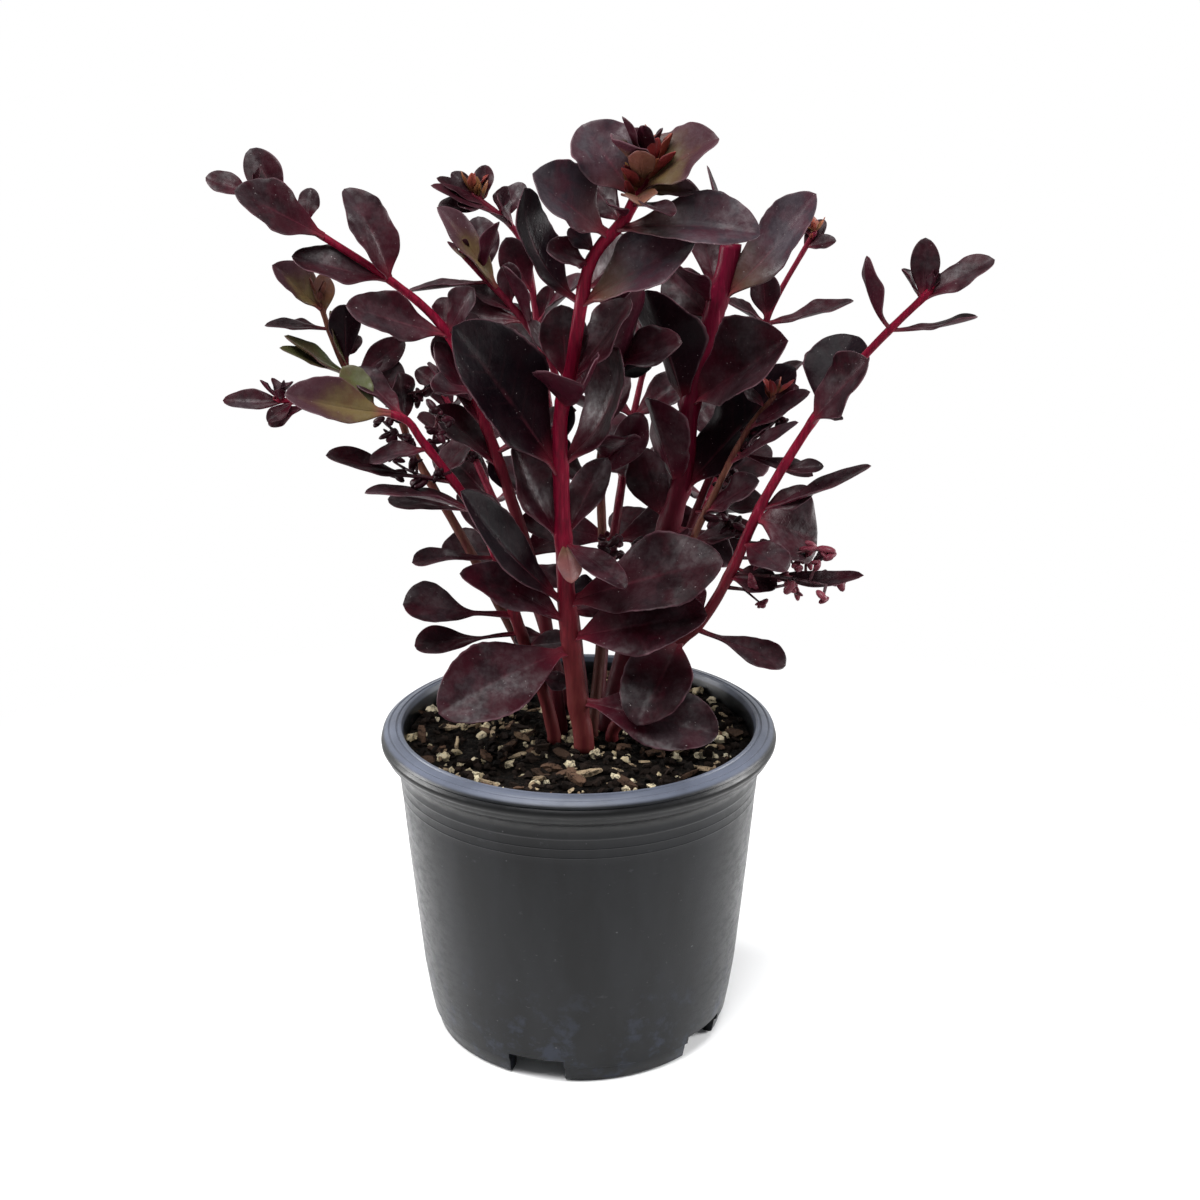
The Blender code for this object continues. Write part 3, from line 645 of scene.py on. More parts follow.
def stem_finish():
    """Fleshy stem skin: crimson, woody and brown near the foot, with fine streaks along it, the pale ones
    painted highlights, and painted shade on the stems at the back of the clump.
    """
    skin = Finish("stem_skin")
    along = skin.across_and_along()["Y"]
    streak = skin.noise(1.2, 4.0, 0.65, skin.place((1.0, 1.0, 0.10)))
    mottle = skin.noise(3.0, 4.0, 0.6)
    grain = skin.noise(0.45, 2.0, 0.5)

    tone = skin.layer("tone")["Color"]
    shaded = skin.mix(0.65, tone, (0.040, 0.002, 0.007))
    flesh = skin.mix(skin.step(streak, 0.35, 0.62), shaded, tone)
    # Pale pink streaks: painted highlights along the stem.
    flesh = skin.mix(skin.step(streak, 0.60, 0.74) * 0.40, flesh, (0.250, 0.030, 0.060))
    flesh = skin.mix(skin.step(mottle, 0.56, 0.74) * 0.45, flesh, (0.040, 0.006, 0.010))
    # Bark near the foot. On the stems toward the back of the clump it is darker and reaches higher up:
    # painted shade.
    clump_shade = skin.step(skin.split(skin.place())["Y"] - POT_AXIS.y, -0.009, 0.003)
    bark = skin.mix(clump_shade, (0.056, 0.016, 0.012), (0.017, 0.005, 0.005))
    woody = skin.step(along - clump_shade * 0.25, 0.06, 0.40, 1.0, 0.0) * skin.step(streak, 0.30, 0.62, 0.60, 1.0)
    flesh = skin.mix(woody * 0.80, flesh, bark)
    cut = skin.split(skin.layer("face")["Vector"])["X"]
    flesh = skin.mix(cut * skin.step(mottle, 0.35, 0.6, 0.5, 1.0), flesh, (0.230, 0.120, 0.090))
    skin.set(
        Base_Color=flesh,
        Roughness=skin.step(streak, 0.3, 0.7, 0.26, 0.42) + woody * 0.2,
        Specular_IOR_Level=0.05,
        Normal=skin.bump(streak * 0.8 + grain * 0.20, 0.30, 0.7),
    )
    return skin.material


def pot_finish():
    """Moulded black plastic: faint flow marks, scuffs, dust and painted sheen on the rim's top, painted
    shade on the lip's side and water marks low down.
    """
    skin = Finish("pot_plastic_worn")
    grain = skin.noise(0.45, 3.0, 0.6)
    flow = skin.noise(14.0, 3.0, 0.55, skin.place((1.0, 1.0, 0.25)))
    scuff = skin.noise(5.0, 6.0, 0.72, skin.place((1.0, 1.0, 2.2)))
    dust = skin.noise(24.0, 4.0, 0.6)
    blotch = skin.noise(9.0, 5.0, 0.7)
    grit = skin.noise(1.5, 1.0, 0.5)
    height = skin.split(skin.place())["Z"]

    plastic = skin.mix(skin.step(flow, 0.3, 0.7), (0.0022, 0.0025, 0.0032), (0.0052, 0.0058, 0.0072))
    plastic = skin.mix(skin.step(scuff, 0.60, 0.76) * 0.25, plastic, (0.060, 0.062, 0.068))
    splash = skin.step(height, 0.006, 0.052, 1.0, 0.0)
    plastic = skin.mix(splash * skin.step(blotch, 0.50, 0.66) * 0.65, plastic, (0.018, 0.023, 0.038))
    plastic = skin.mix(skin.step(grit, 0.76, 0.83) * 0.5, plastic, (0.085, 0.085, 0.090))
    # The rim's top is painted pale blue-grey in cloudy patches: painted sheen on its upward face, with dust.
    rim = skin.step(height, 0.1156, 0.1166)
    plastic = skin.mix(rim * skin.step(dust, 0.3, 0.7, 0.55, 0.85), plastic, (0.078, 0.088, 0.118))
    # The lip's lower side and the slope under it are painted near-black: painted shade.
    lip_shade = skin.step(height, 0.1040, 0.1052) * skin.step(height, 0.1136, 0.1150, 1.0, 0.0)
    plastic = skin.mix(lip_shade * 0.9, plastic, (0.0010, 0.0010, 0.0012))
    skin.set(
        Base_Color=plastic,
        Roughness=skin.step(scuff, 0.35, 0.75, 0.30, 0.46),
        Specular_IOR_Level=0.17,
        Normal=skin.bump(grain, 0.05, 0.5),
    )
    return skin.material


def floor_finish():
    """White paper that keeps the pot's shadow and fades into the white room away from it."""
    paper = Finish("floor_paper")
    paper.set(Base_Color=(0.86, 0.86, 0.86), Roughness=0.95, Specular_IOR_Level=0.0)
    spot = paper.split(paper.place())
    away = paper.sum_of("SQRT", spot["X"] * spot["X"] + spot["Y"] * spot["Y"])
    rays = paper.add("ShaderNodeLightPath")
    seen = paper.sum_of("MAXIMUM", rays["Is Camera Ray"], rays["Is Glossy Ray"])
    share = paper.step(away, 0.10, 0.42) * seen
    lit = Value(paper, paper.skin.outputs["BSDF"])
    glow = paper.add("ShaderNodeEmission", {"Color": (1.0, 1.0, 1.0), "Strength": 1.0})["Emission"]
    mixed = paper.add("ShaderNodeMixShader", {0: share, 1: lit, 2: glow})
    paper.feed(paper.tree.nodes["Material Output"].inputs["Surface"], mixed["Shader"])
    return paper.material


def soil_finish():
    """Damp potting mix: near-black peat with brown fibres and pale grit."""
    skin = Finish("peat")
    crumb = skin.noise(2.2, 6.0, 0.75)
    fleck = skin.noise(1.1, 3.0, 0.6)
    peat = skin.mix(skin.step(crumb, 0.38, 0.66), (0.0010, 0.0008, 0.0008), (0.007, 0.005, 0.0035))
    peat = skin.mix(skin.step(fleck, 0.68, 0.74) * 0.7, peat, (0.090, 0.050, 0.032))
    skin.set(
        Base_Color=peat,
        Roughness=skin.step(crumb, 0.3, 0.7, 0.95, 0.55),
        Specular_IOR_Level=0.04,
        Normal=skin.bump(crumb * 1.0 + fleck * 0.5, 1.4, 1.0),
    )
    return skin.material


def loose_finish(name, light, dark, spots, roughness):
    """What lies on the mix: each bit takes its own share between two colours, and peat sticks to it."""
    skin = Finish(name)
    share = skin.split(skin.layer("tone")["Vector"])["X"]
    rough = skin.noise(1.2, 5.0, 0.7)
    stuck = skin.noise(2.4, 6.0, 0.8)
    grain = skin.noise(2.0, 4.0, 0.7, skin.place((0.35, 1.0, 1.0)))
    colour = skin.mix(share, dark, light)
    colour = skin.mix(skin.step(rough, 0.48, 0.70) * 0.6, colour, spots)
    colour = skin.mix(skin.step(stuck, 0.50, 0.60) * 0.85, colour, (0.006, 0.004, 0.003))
    skin.set(
        Base_Color=colour,
        Roughness=skin.step(rough, 0.3, 0.7, roughness - 0.12, roughness),
        Specular_IOR_Level=0.05,
        Normal=skin.bump(rough * 0.9 + grain * 0.5 + stuck * 0.5, 0.8, 1.0),
    )
    return skin.material


# ---- Solids --------------------------------------------------------------------------------------------
SEAM = 0.002 * MM
# Past this share of its length a rolled sheet has only its last ring.
LAST_RING = 0.999


def linked(name, data):
    """An object that shows this data in the scene."""
    made = bpy.data.objects.new(name, data)
    bpy.context.scene.collection.objects.link(made)
    return made


def object_of(maker, name):
    """An object with the mesh that the bmesh holds."""
    mesh = bpy.data.meshes.new(name)
    maker.to_mesh(mesh)
    maker.free()
    return linked(name, mesh)


def finished(maker, name, finish, slot, nodes):
    """Makes a piece of a bmesh: smooth, riding on the pot's body and standing for its nodes."""
    bmesh.ops.recalc_face_normals(maker, faces=maker.faces)
    piece = object_of(maker, name)
    piece.data.shade_smooth()
    piece.data.materials.append(finish)
    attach(piece, BODY)
    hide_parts(*nodes)
    return piece


def to_frame(point):
    """From millimetres about the pot's axis to metres in the frame."""
    return point * MM + POT_AXIS


def ring_point(centre, across, outward, angle, radius):
    """A point of a ring about a centre, in the frame."""
    return to_frame(centre + (across * math.cos(angle) + outward * math.sin(angle)) * radius)


def rolled(maker, around, lengthwise, place, mark, tone, face=None):
    """A sheet rolled into a closed tube.

    place(u, v) is where it goes, mark(u, v) what its UV map says and face(u, v) what its face layer says.
    """
    sheet = bmesh.new()
    bmesh.ops.create_grid(sheet, x_segments=around, y_segments=lengthwise, size=0.5)
    uv = sheet.loops.layers.uv.new("blade")
    tones = sheet.verts.layers.float_color.new("tone")
    sides = sheet.verts.layers.float_color.new("face")
    for corner in (loop for each in sheet.faces for loop in each.loops):
        corner[uv].uv = mark(corner.vert.co.x + 0.5, corner.vert.co.y + 0.5)
    for vert in sheet.verts:
        u = vert.co.x + 0.5
        v = vert.co.y + 0.5
        vert[tones] = (*tone, 1.0)
        under = face(u, v) if face else 0.0
        vert[sides] = (under, under, under, 1.0)
        vert.co = place(u, v)
    bmesh.ops.remove_doubles(sheet, verts=sheet.verts, dist=SEAM)
    made = bpy.data.meshes.new("sheet")
    sheet.to_mesh(made)
    sheet.free()
    maker.from_mesh(made)
    bpy.data.meshes.remove(made)


def new_maker():
    """A bmesh that holds the same layers as a rolled sheet."""
    maker = bmesh.new()
    maker.loops.layers.uv.new("blade")
    maker.verts.layers.float_color.new("tone")
    maker.verts.layers.float_color.new("face")
    return maker


# ---- Stems ---------------------------------------------------------------------------------------------
ROUTE_STEPS = 8
COLLAR = 4.0
STEM_SUNK = 1.5
STEM_AROUND = 20
RING_SPACING = 2.2
NODE_SWELL = 0.12
NODE_SHARE = 0.012
FOOT_SWELL = 0.12
FOOT_SHARE = 0.015
UNEVEN = 0.09
CUT_DISH = 0.3


def smooth_route(points):
    """A smooth line through the points."""
    ends = [2 * points[0] - points[1], *points, 2 * points[-1] - points[-2]]
    line = []
    for before, start, end, after in zip(ends, ends[1:], ends[2:], ends[3:]):
        for step in range(ROUTE_STEPS):
            t = step / ROUTE_STEPS
            line.append(
                0.5 * (2 * start + (end - before) * t)
                + 0.5 * (2 * before - 5 * start + 4 * end - after) * t**2
                + 0.5 * (3 * start - before - 3 * end + after) * t**3
            )
    return [*line, points[-1]]


def stem_line(stem):
    """The stem's line from its foot, in millimetres."""
    foot = Vector((*stem.foot, SOIL_TOP - STEM_SUNK))
    collar = Vector((*stem.foot, SOIL_TOP + COLLAR))
    return [foot, *smooth_route([collar, *(Vector(point) for point in stem.route)])]


def point_along(line, share):
    """The point at a share of the line's length, and the line's direction there."""
    lengths = [(b - a).length for a, b in zip(line, line[1:])]
    left = share * sum(lengths)
    for (start, end), length in zip(zip(line, line[1:]), lengths):
        if left <= length:
            return start.lerp(end, left / length), (end - start).normalized()
        left -= length
    return line[-1], (line[-1] - line[-2]).normalized()


def stem_radius(stem, share):
    """The stem thins evenly from foot to tip, and swells a little at its foot and where leaves grow."""
    radius = stem.foot_radius + share * (stem.tip_radius - stem.foot_radius)
    places = [leaf.at for leaf in [*stem.leaves, *stem.shoots]]
    swell = max(math.exp(-(((share - place) / NODE_SHARE) ** 2)) for place in places)
    foot = FOOT_SWELL * math.exp(-((share / FOOT_SHARE) ** 2))
    return radius * (1 + NODE_SWELL * swell + foot)


def stem_tube(maker, stem, line, seed):
    """The stem's skin: round, a little uneven, and closed at both ends."""
    total = sum((b - a).length for a, b in zip(line, line[1:]))
    rows = int(total / RING_SPACING)
    spots = [point_along(line, row / rows) for row in range(rows + 1)]
    aside = Vector((1.0, 0.0, 0.0))

    def place(u, v):
        row = min(int(v * rows + 0.5), rows)
        point, grows = spots[row]
        across = (aside - grows * aside.dot(grows)).normalized()
        outward = grows.cross(across)
        angle = math.tau * u
        radius = stem_radius(stem, row / rows)
        radius *= 1 + UNEVEN * noise.noise(Vector((math.cos(angle), math.sin(angle) + seed, row * 0.33)))
        if row == rows and stem.cut:
            point = spots[row - 1][0] - grows * CUT_DISH
        if row in (0, rows):
            radius = 0.0
        return ring_point(point, across, outward, angle, radius)

    def cut_end(u, v):
        return float(stem.cut and v > LAST_RING)

    rolled(maker, STEM_AROUND, rows, place, lambda u, v: (u, v), stem.tone, cut_end)


# ---- Leaves --------------------------------------------------------------------------------------------
# How many faces a large and a small blade have around and along.
LARGE_GRID = (36, 44)
SMALL_GRID = (24, 24)
SPINE_STEPS = 32
PETIOLE_SHARE = 0.15
# A blade narrower than the full width is thinner too, and every blade is thinned down at its tip.
LEAF_THICKNESS = 1.5
FULL_WIDTH = 14
THIN_FROM = 0.93
THIN_LEAST = 0.15
# How steeply the two halves fold up along the midrib, and the share of the stem's radius a petiole sinks.
FOLD = 1.5
SUNK = 0.6
# Teeth, frills and the groove over the midrib; only a broad leaf has teeth, and only past its petiole.
TOOTH_DEPTH = 0.024
TOOTHED_WIDTH = 13
TOOTH_SPACING = 4.5
TEETH_FROM = 0.3
FRILL_DEPTH = 0.012
GROOVE_DEPTH = 0.35
GROOVE_SHARE = 0.10
GOLDEN_ANGLE = 137.5


def half_width(leaf, t):
    """The blade's half-width: a narrow petiole, a wide belly and a blunt round tip."""
    swing = min(t, 1.0) ** (math.log(0.5) / math.log(leaf.belly))
    if t < leaf.belly:
        return 0.5 * leaf.width * max(math.sin(math.pi * swing) ** 0.92, PETIOLE_SHARE)
    return 0.5 * leaf.width * max(math.sin(math.pi * swing), 0.0) ** 0.58


def leaf_frame(leaf, t):
    """The directions along, across and out of the blade at a share of its length."""
    heading = math.radians(leaf.heading)
    rise = math.radians(leaf.rise)
    level = Vector((math.cos(heading), math.sin(heading), 0))
    along = level * math.cos(rise) + Vector((0, 0, math.sin(rise)))
    across = along.cross(Vector((0, 0, 1))).normalized()
    face = across.cross(along)
    turn = Matrix.Rotation(math.radians(leaf.turn) * math.cos(heading), 3, along)
    across = turn @ across
    face = turn @ face
    lean = math.radians(leaf.bend) * (t - 0.5)
    forward = along * math.cos(lean) + face * math.sin(lean)
    return forward, across, face * math.cos(lean) - along * math.sin(lean)


def leaf_spine(start, leaf, length):
    """The points of a leaf's bent spine."""
    spine = [start]
    for index in range(SPINE_STEPS):
        along = leaf_frame(leaf, (index + 0.5) / SPINE_STEPS)[0]
        spine.append(spine[-1] + along * (length / SPINE_STEPS))
    return spine


def leaf_blade(maker, leaf, stem, line, seed, grid):
    """A fleshy leaf: a lens-shaped section along a bent spine, with a groove, waves and a toothed margin."""
    luck = random.Random(seed)
    point, grows = point_along(line, leaf.at)
    along = leaf_frame(leaf, 0.0)[0]
    away = (along - grows * along.dot(grows)).normalized()
    radius = stem_radius(stem, leaf.at)
    sunk = SUNK * radius
    length = leaf.length + sunk
    spine = leaf_spine(point + away * (radius - sunk), leaf, length)
    phase = luck.uniform(0, 6.28)
    lean = luck.uniform(-0.05, 0.05)
    teeth = max(4, round(length / TOOTH_SPACING))
    tooth = TOOTH_DEPTH if leaf.width > TOOTHED_WIDTH else 0.0
    frill = luck.uniform(3.5, 5.5)
    swing = luck.uniform(1.1, 1.9)
    wave = luck.uniform(0.04, 0.12)

    def place(u, v):
        t = v**0.9
        angle = math.tau * u
        side = -math.cos(angle)
        lift = math.sin(angle)
        index = min(int(t * SPINE_STEPS), SPINE_STEPS - 1)
        centre = spine[index].lerp(spine[index + 1], t * SPINE_STEPS - index)
        across, face = leaf_frame(leaf, t)[1:]
        width = half_width(leaf, t)
        edge = abs(side)
        cut = 0.5 + 0.5 * math.cos(math.tau * teeth * t + phase)
        width *= 1 - tooth * cut * edge**6 * min(1.0, max(0.0, (t - TEETH_FROM) * 4))
        thick = 0.5 * LEAF_THICKNESS * (1.25 - 0.5 * t) * min(1.0, leaf.width / FULL_WIDTH)
        if t > THIN_FROM:
            left = 1 - ((t - THIN_FROM) / (1 - THIN_FROM)) ** 2
            thick *= max(THIN_LEAST, math.sqrt(max(0.0, left)))
        thick = min(thick, width + 0.2)
        rise = FOLD * leaf.cup * width * edge**1.15
        ruffle = wave * leaf.width * math.sin(math.tau * swing * t + phase + (1.3 if side > 0 else 0))
        ruffle += FRILL_DEPTH * leaf.width * math.sin(math.tau * frill * t + 2 * phase) * edge**2
        rise += ruffle * edge**2 * math.sin(math.pi * min(t, 1.0))
        groove = GROOVE_DEPTH * math.exp(-((side / GROOVE_SHARE) ** 2)) * min(1.0, 4 * t) * (1 - t)
        body = thick * math.copysign(abs(lift) ** 0.75, lift)
        body -= groove if lift > 0 else -0.5 * groove
        shift = lean * leaf.width * math.sin(math.pi * t)
        return to_frame(centre + across * (side * width + shift) + face * (rise + body))

    def mark(u, v):
        return 0.5 - 0.5 * math.cos(math.tau * u), v**0.9

    tint = luck.uniform(0.8, 1.25)
    tone = tuple(part * tint for part in leaf.tone)
    rolled(maker, *grid, place, mark, tone, lambda u, v: float(u > 0.5))


def tuft_leaves(count, reach, tone, packed, seed):
    """Small leaves and buds packed down from a growing tip, each a golden angle on from the last."""
    luck = random.Random(seed)
    leaves = []
    for index in range(count):
        length = reach * luck.uniform(0.45, 1.0)
        width = length * luck.uniform(0.35, 0.60)
        ripe = luck.random() ** 2 if tone == BUD else 0.0
        tint = tuple(one + ripe * (other - one) for one, other in zip(tone, GOLD))
        at = 1.0 - packed * luck.random()
        rise = luck.uniform(35, 85)
        shape = {"turn": 0, "bend": 30, "belly": 0.50, "cup": 0.4, "tone": tint}
        leaves.append(Leaf(at, GOLDEN_ANGLE * index, rise, length, width, **shape))
    return leaves


# ---- Flowering twigs -----------------------------------------------------------------------------------
TWIG_GRID = (6, 3)
TWIG_JOINTS = 5
TWIG_RADIUS = 0.60
TWIG_THINS = 0.05
SIDE_TWIG_RADIUS = 0.42
# Where a twig or bud takes its colour from on a blade: clear of the margin, the midrib and the petiole.
PLAIN_FLESH = (0.3, 0.6)


def twig(maker, start, end, radius, tone):
    """A thin straight twig with closed ends."""
    grows = (end - start).normalized()
    across = grows.orthogonal()
    outward = grows.cross(across)

    def place(u, v):
        t = min(max(3 * v - 1, 0.0), 1.0)
        wide = 0.0 if v in (0.0, 1.0) else radius * (1.1 - 0.3 * t)
        return ring_point(start.lerp(end, t), across, outward, math.tau * u, wide)

    rolled(maker, *TWIG_GRID, place, lambda u, v: PLAIN_FLESH, tone)


def bud(maker, spot, tone, luck):
    """A bud: a small egg, turned any way, a little darker or paler than its tone."""
    tones = maker.verts.layers.float_color["tone"]
    uv = maker.loops.layers.uv["blade"]
    size = luck.uniform(0.9, 1.9) * MM
    slim = Matrix.Diagonal((size, size * luck.uniform(0.5, 1.0), size * luck.uniform(1.4, 2.4), 1))
    turn = any_way(luck, 1).to_track_quat("Z", "Y").to_matrix().to_4x4()
    shape = Matrix.Translation(to_frame(spot)) @ turn @ slim
    dark = luck.uniform(0.35, 1.1)
    for vert in bmesh.ops.create_icosphere(maker, subdivisions=2, radius=1.0, matrix=shape)["verts"]:
        vert[tones] = (*(part * dark for part in tone), 1.0)
        for corner in vert.link_loops:
            corner[uv].uv = PLAIN_FLESH


def any_way(luck, reach):
    """A random step of at most this reach along each axis."""
    return Vector([luck.uniform(-reach, reach) for _ in range(3)])


def spray(maker, start, heading, rise, length, tone, seed):
    """A thin flowering twig: side twigs left and right of it, each with a few buds at its end."""
    luck = random.Random(seed)
    way = Vector((math.cos(heading) * math.cos(rise), math.sin(heading) * math.cos(rise), math.sin(rise)))
    joints = [start]
    for _ in range(TWIG_JOINTS):
        way = (way + any_way(luck, 0.22)).normalized()
        joints.append(joints[-1] + way * length / TWIG_JOINTS)
    for index, (low, high) in enumerate(zip(joints, joints[1:])):
        twig(maker, low, high, TWIG_RADIUS - TWIG_THINS * index, TWIG)
        aside = way.orthogonal() if index % 2 else -way.orthogonal()
        aside = Matrix.Rotation(luck.uniform(-1.2, 1.2), 3, way) @ aside
        tip = high + (way * 0.6 + aside).normalized() * luck.uniform(0.10, 0.22) * length
        twig(maker, high, tip, SIDE_TWIG_RADIUS, TWIG)
        for _ in range(luck.randint(2, 5)):
            bud(maker, tip + any_way(luck, 1.6), tone, luck)


# ---- Pot and mix ---------------------------------------------------------------------------------------
POT_STEPS = 160
# Radius and height: the hidden inside up to the rim, over its grooves and the lip, down past the fine ridges
# of the wall to the foot ring, and in under the base.
POT_SECTION = [
    (0.0, 11.2), (53.4, 11.2), (54.9, 12.6), (57.0, 25.0), (60.8, 65.0), (62.2, 84.0),
    (62.8, 113.0), (64.0, 117.0), (64.4, 117.8), (65.0, 118.0), (65.5, 117.9), (65.8, 117.5),
    (66.2, 117.5), (66.5, 117.8), (68.2, 117.4), (68.6, 117.0), (69.0, 117.0), (69.3, 117.1),
    (70.2, 116.5), (71.0, 115.9), (71.3, 115.2), (71.1, 114.9), (70.9, 114.7), (71.1, 114.4),
    (71.6, 113.9), (71.8, 113.2), (71.7, 112.2), (71.3, 111.6), (70.9, 111.2), (70.7, 110.6),
    (70.2, 109.4), (69.4, 108.6), (68.2, 107.6), (67.3, 106.6), (66.7, 105.4), (66.3, 104.6),
    (66.2, 104.2), (66.1, 103.8), (65.9, 101.8), (65.9, 101.5), (65.6, 101.1), (65.5, 100.8),
    (65.2, 97.8), (65.2, 97.6), (65.25, 97.4), (65.15, 97.2), (65.1, 97.0), (64.9, 94.3),
    (64.9, 94.1), (64.95, 93.9), (64.85, 93.7), (64.8, 93.5), (64.6, 91.0), (63.9, 82.0),
    (62.4, 65.0), (60.6, 46.0), (58.5, 25.0), (56.9, 14.0), (55.6, 6.6), (54.6, 5.9),
    (53.6, 0.9), (53.0, 0.3), (52.0, 0.0), (48.6, 0.0), (47.5, 0.8), (47.5, 9.8),
    (0.0, 9.8),
]
NOTCH_HEADINGS = [254, 326, 38, 110, 182]
NOTCH_REACH = 50.5
NOTCH_SIZE = (18.0, 20.5, 18.6)
POT_SHARP = math.radians(40)
MIX_GRID = (180, 80)
MIX_RADIUS = 63.0
MIX_FOOT_RADIUS = 53.0
MIX_FOOT = 10.0
# The share of the mix's sheet that is its top; the rest goes down along the wall.
MIX_TOP = 0.9
# The mix has settled by this much, and banks up again from this far out.
SETTLED = 0.2
BANK_FROM = 46
BANK_WIDTH = 16
# Its hummocks, from broad to fine: how high, how wide, and which layer of noise they follow.
HUMMOCKS = [(1.3, 13, 2), (0.8, 4.5, 5), (0.5, 1.8, 9)]
LOOSE_REACH = 61.0
LOOSE_SHARP = math.radians(32)


def nursery_pot(finish):
    """The pot: one section turned about the axis, with the drainage notches cut through its foot."""
    section = bmesh.new()
    corners = [section.verts.new(to_frame(Vector((radius, 0, height)))) for radius, height in POT_SECTION]
    rim = [section.edges.new(pair) for pair in zip(corners, corners[1:])]
    bmesh.ops.spin(
        section,
        geom=[*corners, *rim],
        cent=POT_AXIS,
        axis=(0, 0, 1),
        angle=math.tau,
        steps=POT_STEPS,
        use_merge=True,
    )
    bmesh.ops.remove_doubles(section, verts=section.verts, dist=0.01 * MM)
    pot = finished(section, "pot_shell", finish, "pot_plastic", ["nursery_pot"])
    cutters = bmesh.new()
    for heading in NOTCH_HEADINGS:
        turn = Matrix.Rotation(math.radians(heading), 4, "Z")
        place = Matrix.Translation(POT_AXIS) @ turn @ Matrix.Translation((NOTCH_REACH * MM, 0, 0))
        size = Matrix.Diagonal((*(side * MM for side in NOTCH_SIZE), 1))
        bmesh.ops.create_cube(cutters, size=1, matrix=place @ size)
    notches = object_of(cutters, "notches")
    cut = pot.modifiers.new("notches", "BOOLEAN")
    cut.operation = "DIFFERENCE"
    cut.solver = "EXACT"
    cut.object = notches
    bpy.context.view_layer.update()
    graph = bpy.context.evaluated_depsgraph_get()
    solid = bpy.data.meshes.new_from_object(pot.evaluated_get(graph))
    pot.modifiers.clear()
    pot.data = solid
    solid.set_sharp_from_angle(angle=POT_SHARP)
    bpy.data.objects.remove(notches)


def soil_height(x, y):
    """How high the mix lies at a place: hummocky, and banked up at the wall, most of all toward +Y."""
    bank = max(0.0, (math.hypot(x, y) - BANK_FROM) / BANK_WIDTH) ** 1.5
    height = SOIL_TOP - SETTLED + (1.2 + 0.8 * y / (BANK_FROM + BANK_WIDTH)) * bank
    for lift, width, layer in HUMMOCKS:
        height += lift * noise.noise(Vector((x / width, y / width, layer)))
    return height


def potting_mix(finish):
    """The mix: a lumpy disc down to the pot's floor."""
    disc = new_maker()

    def place(u, v):
        angle = math.tau * u
        if v <= MIX_TOP:
            radius = MIX_RADIUS * (v / MIX_TOP)
            x = radius * math.cos(angle)
            y = radius * math.sin(angle)
            return to_frame(Vector((x, y, soil_height(x, y))))
        if v < LAST_RING:
            share = (v - MIX_TOP) / (1 - MIX_TOP)
            radius = MIX_RADIUS + share * (MIX_FOOT_RADIUS - MIX_RADIUS)
            height = SOIL_TOP + share * (MIX_FOOT - SOIL_TOP)
            return to_frame(Vector((radius * math.cos(angle), radius * math.sin(angle), height)))
        return to_frame(Vector((0, 0, MIX_FOOT)))

    rolled(disc, *MIX_GRID, place, lambda u, v: (u, v), (0.5, 0.5, 0.5))
    finished(disc, "mix_surface", finish, "potting_mix", ["potting_mix"])


def lay_chip(heap, luck):
    """The corners of a plain flat chip, and how far it bows."""
    base = bmesh.ops.create_grid(heap, x_segments=3, y_segments=1, size=1.0)["verts"]
    faces = list({face for vert in base for face in vert.link_faces})
    made = bmesh.ops.extrude_face_region(heap, geom=faces)["geom"]
    top = [part for part in made if isinstance(part, bmesh.types.BMVert)]
    bmesh.ops.translate(heap, vec=(0, 0, 1), verts=top)
    return [*base, *top], luck.uniform(-0.35, 0.35)


def split_off(corner, bow, luck):
    """Moves a chip's corner so that the chip is narrow at its ends, bowed and rough."""
    narrow = 1 - luck.uniform(0.2, 0.7) * corner.x**2
    corner.y = corner.y * narrow + bow * (1 - corner.x**2) + luck.uniform(-0.15, 0.15)
    corner.x += luck.uniform(-0.2, 0.2)
    corner.z += luck.uniform(-0.3, 0.3)


def scatter(name, finish, count, sizes, slim, flat, seed, sink, chip=False, lumps=1):
    """Loose bits on the mix: rough lumps or angular chips, turned at random and partly sunk.

    Sizes is the range of their length; slim and flat are those of their width and height as shares of it.
    """
    luck = random.Random(seed)
    heap = new_maker()
    tones = heap.verts.layers.float_color["tone"]
    for _ in range(count):
        heading = luck.uniform(0, math.tau)
        radius = LOOSE_REACH * math.sqrt(luck.uniform(0, 1))
        x = radius * math.cos(heading)
        y = radius * math.sin(heading)
        long = luck.uniform(*sizes)
        wide = long * luck.uniform(*slim)
        tall = long * luck.uniform(*flat)
        turn = Matrix.Rotation(luck.uniform(0, 6.28), 4, "Z")
        turn = turn @ Matrix.Rotation(luck.uniform(-0.5, 0.5), 4, "X")
        turn = turn @ Matrix.Rotation(luck.uniform(-0.45, 0.45), 4, "Y")
        spot = Vector((x, y, soil_height(x, y) + tall * (0.5 - sink)))
        size = Matrix.Diagonal((long * MM / 2, wide * MM / 2, tall * MM / 2, 1))
        if chip:
            corners, bow = lay_chip(heap, luck)
        else:
            corners = bmesh.ops.create_icosphere(heap, subdivisions=lumps, radius=1.0)["verts"]
        share = luck.uniform(0, 1)
        for vert in corners:
            if chip:
                split_off(vert.co, bow, luck)
            else:
                vert.co *= luck.uniform(0.60, 1.15)
            vert[tones] = (share, share, share, 1)
        bmesh.ops.transform(heap, matrix=Matrix.Translation(to_frame(spot)) @ turn @ size, verts=corners)
    bits = finished(heap, name, finish, "potting_mix", ["potting_mix"])
    bits.data.set_sharp_from_angle(angle=LOOSE_SHARP)


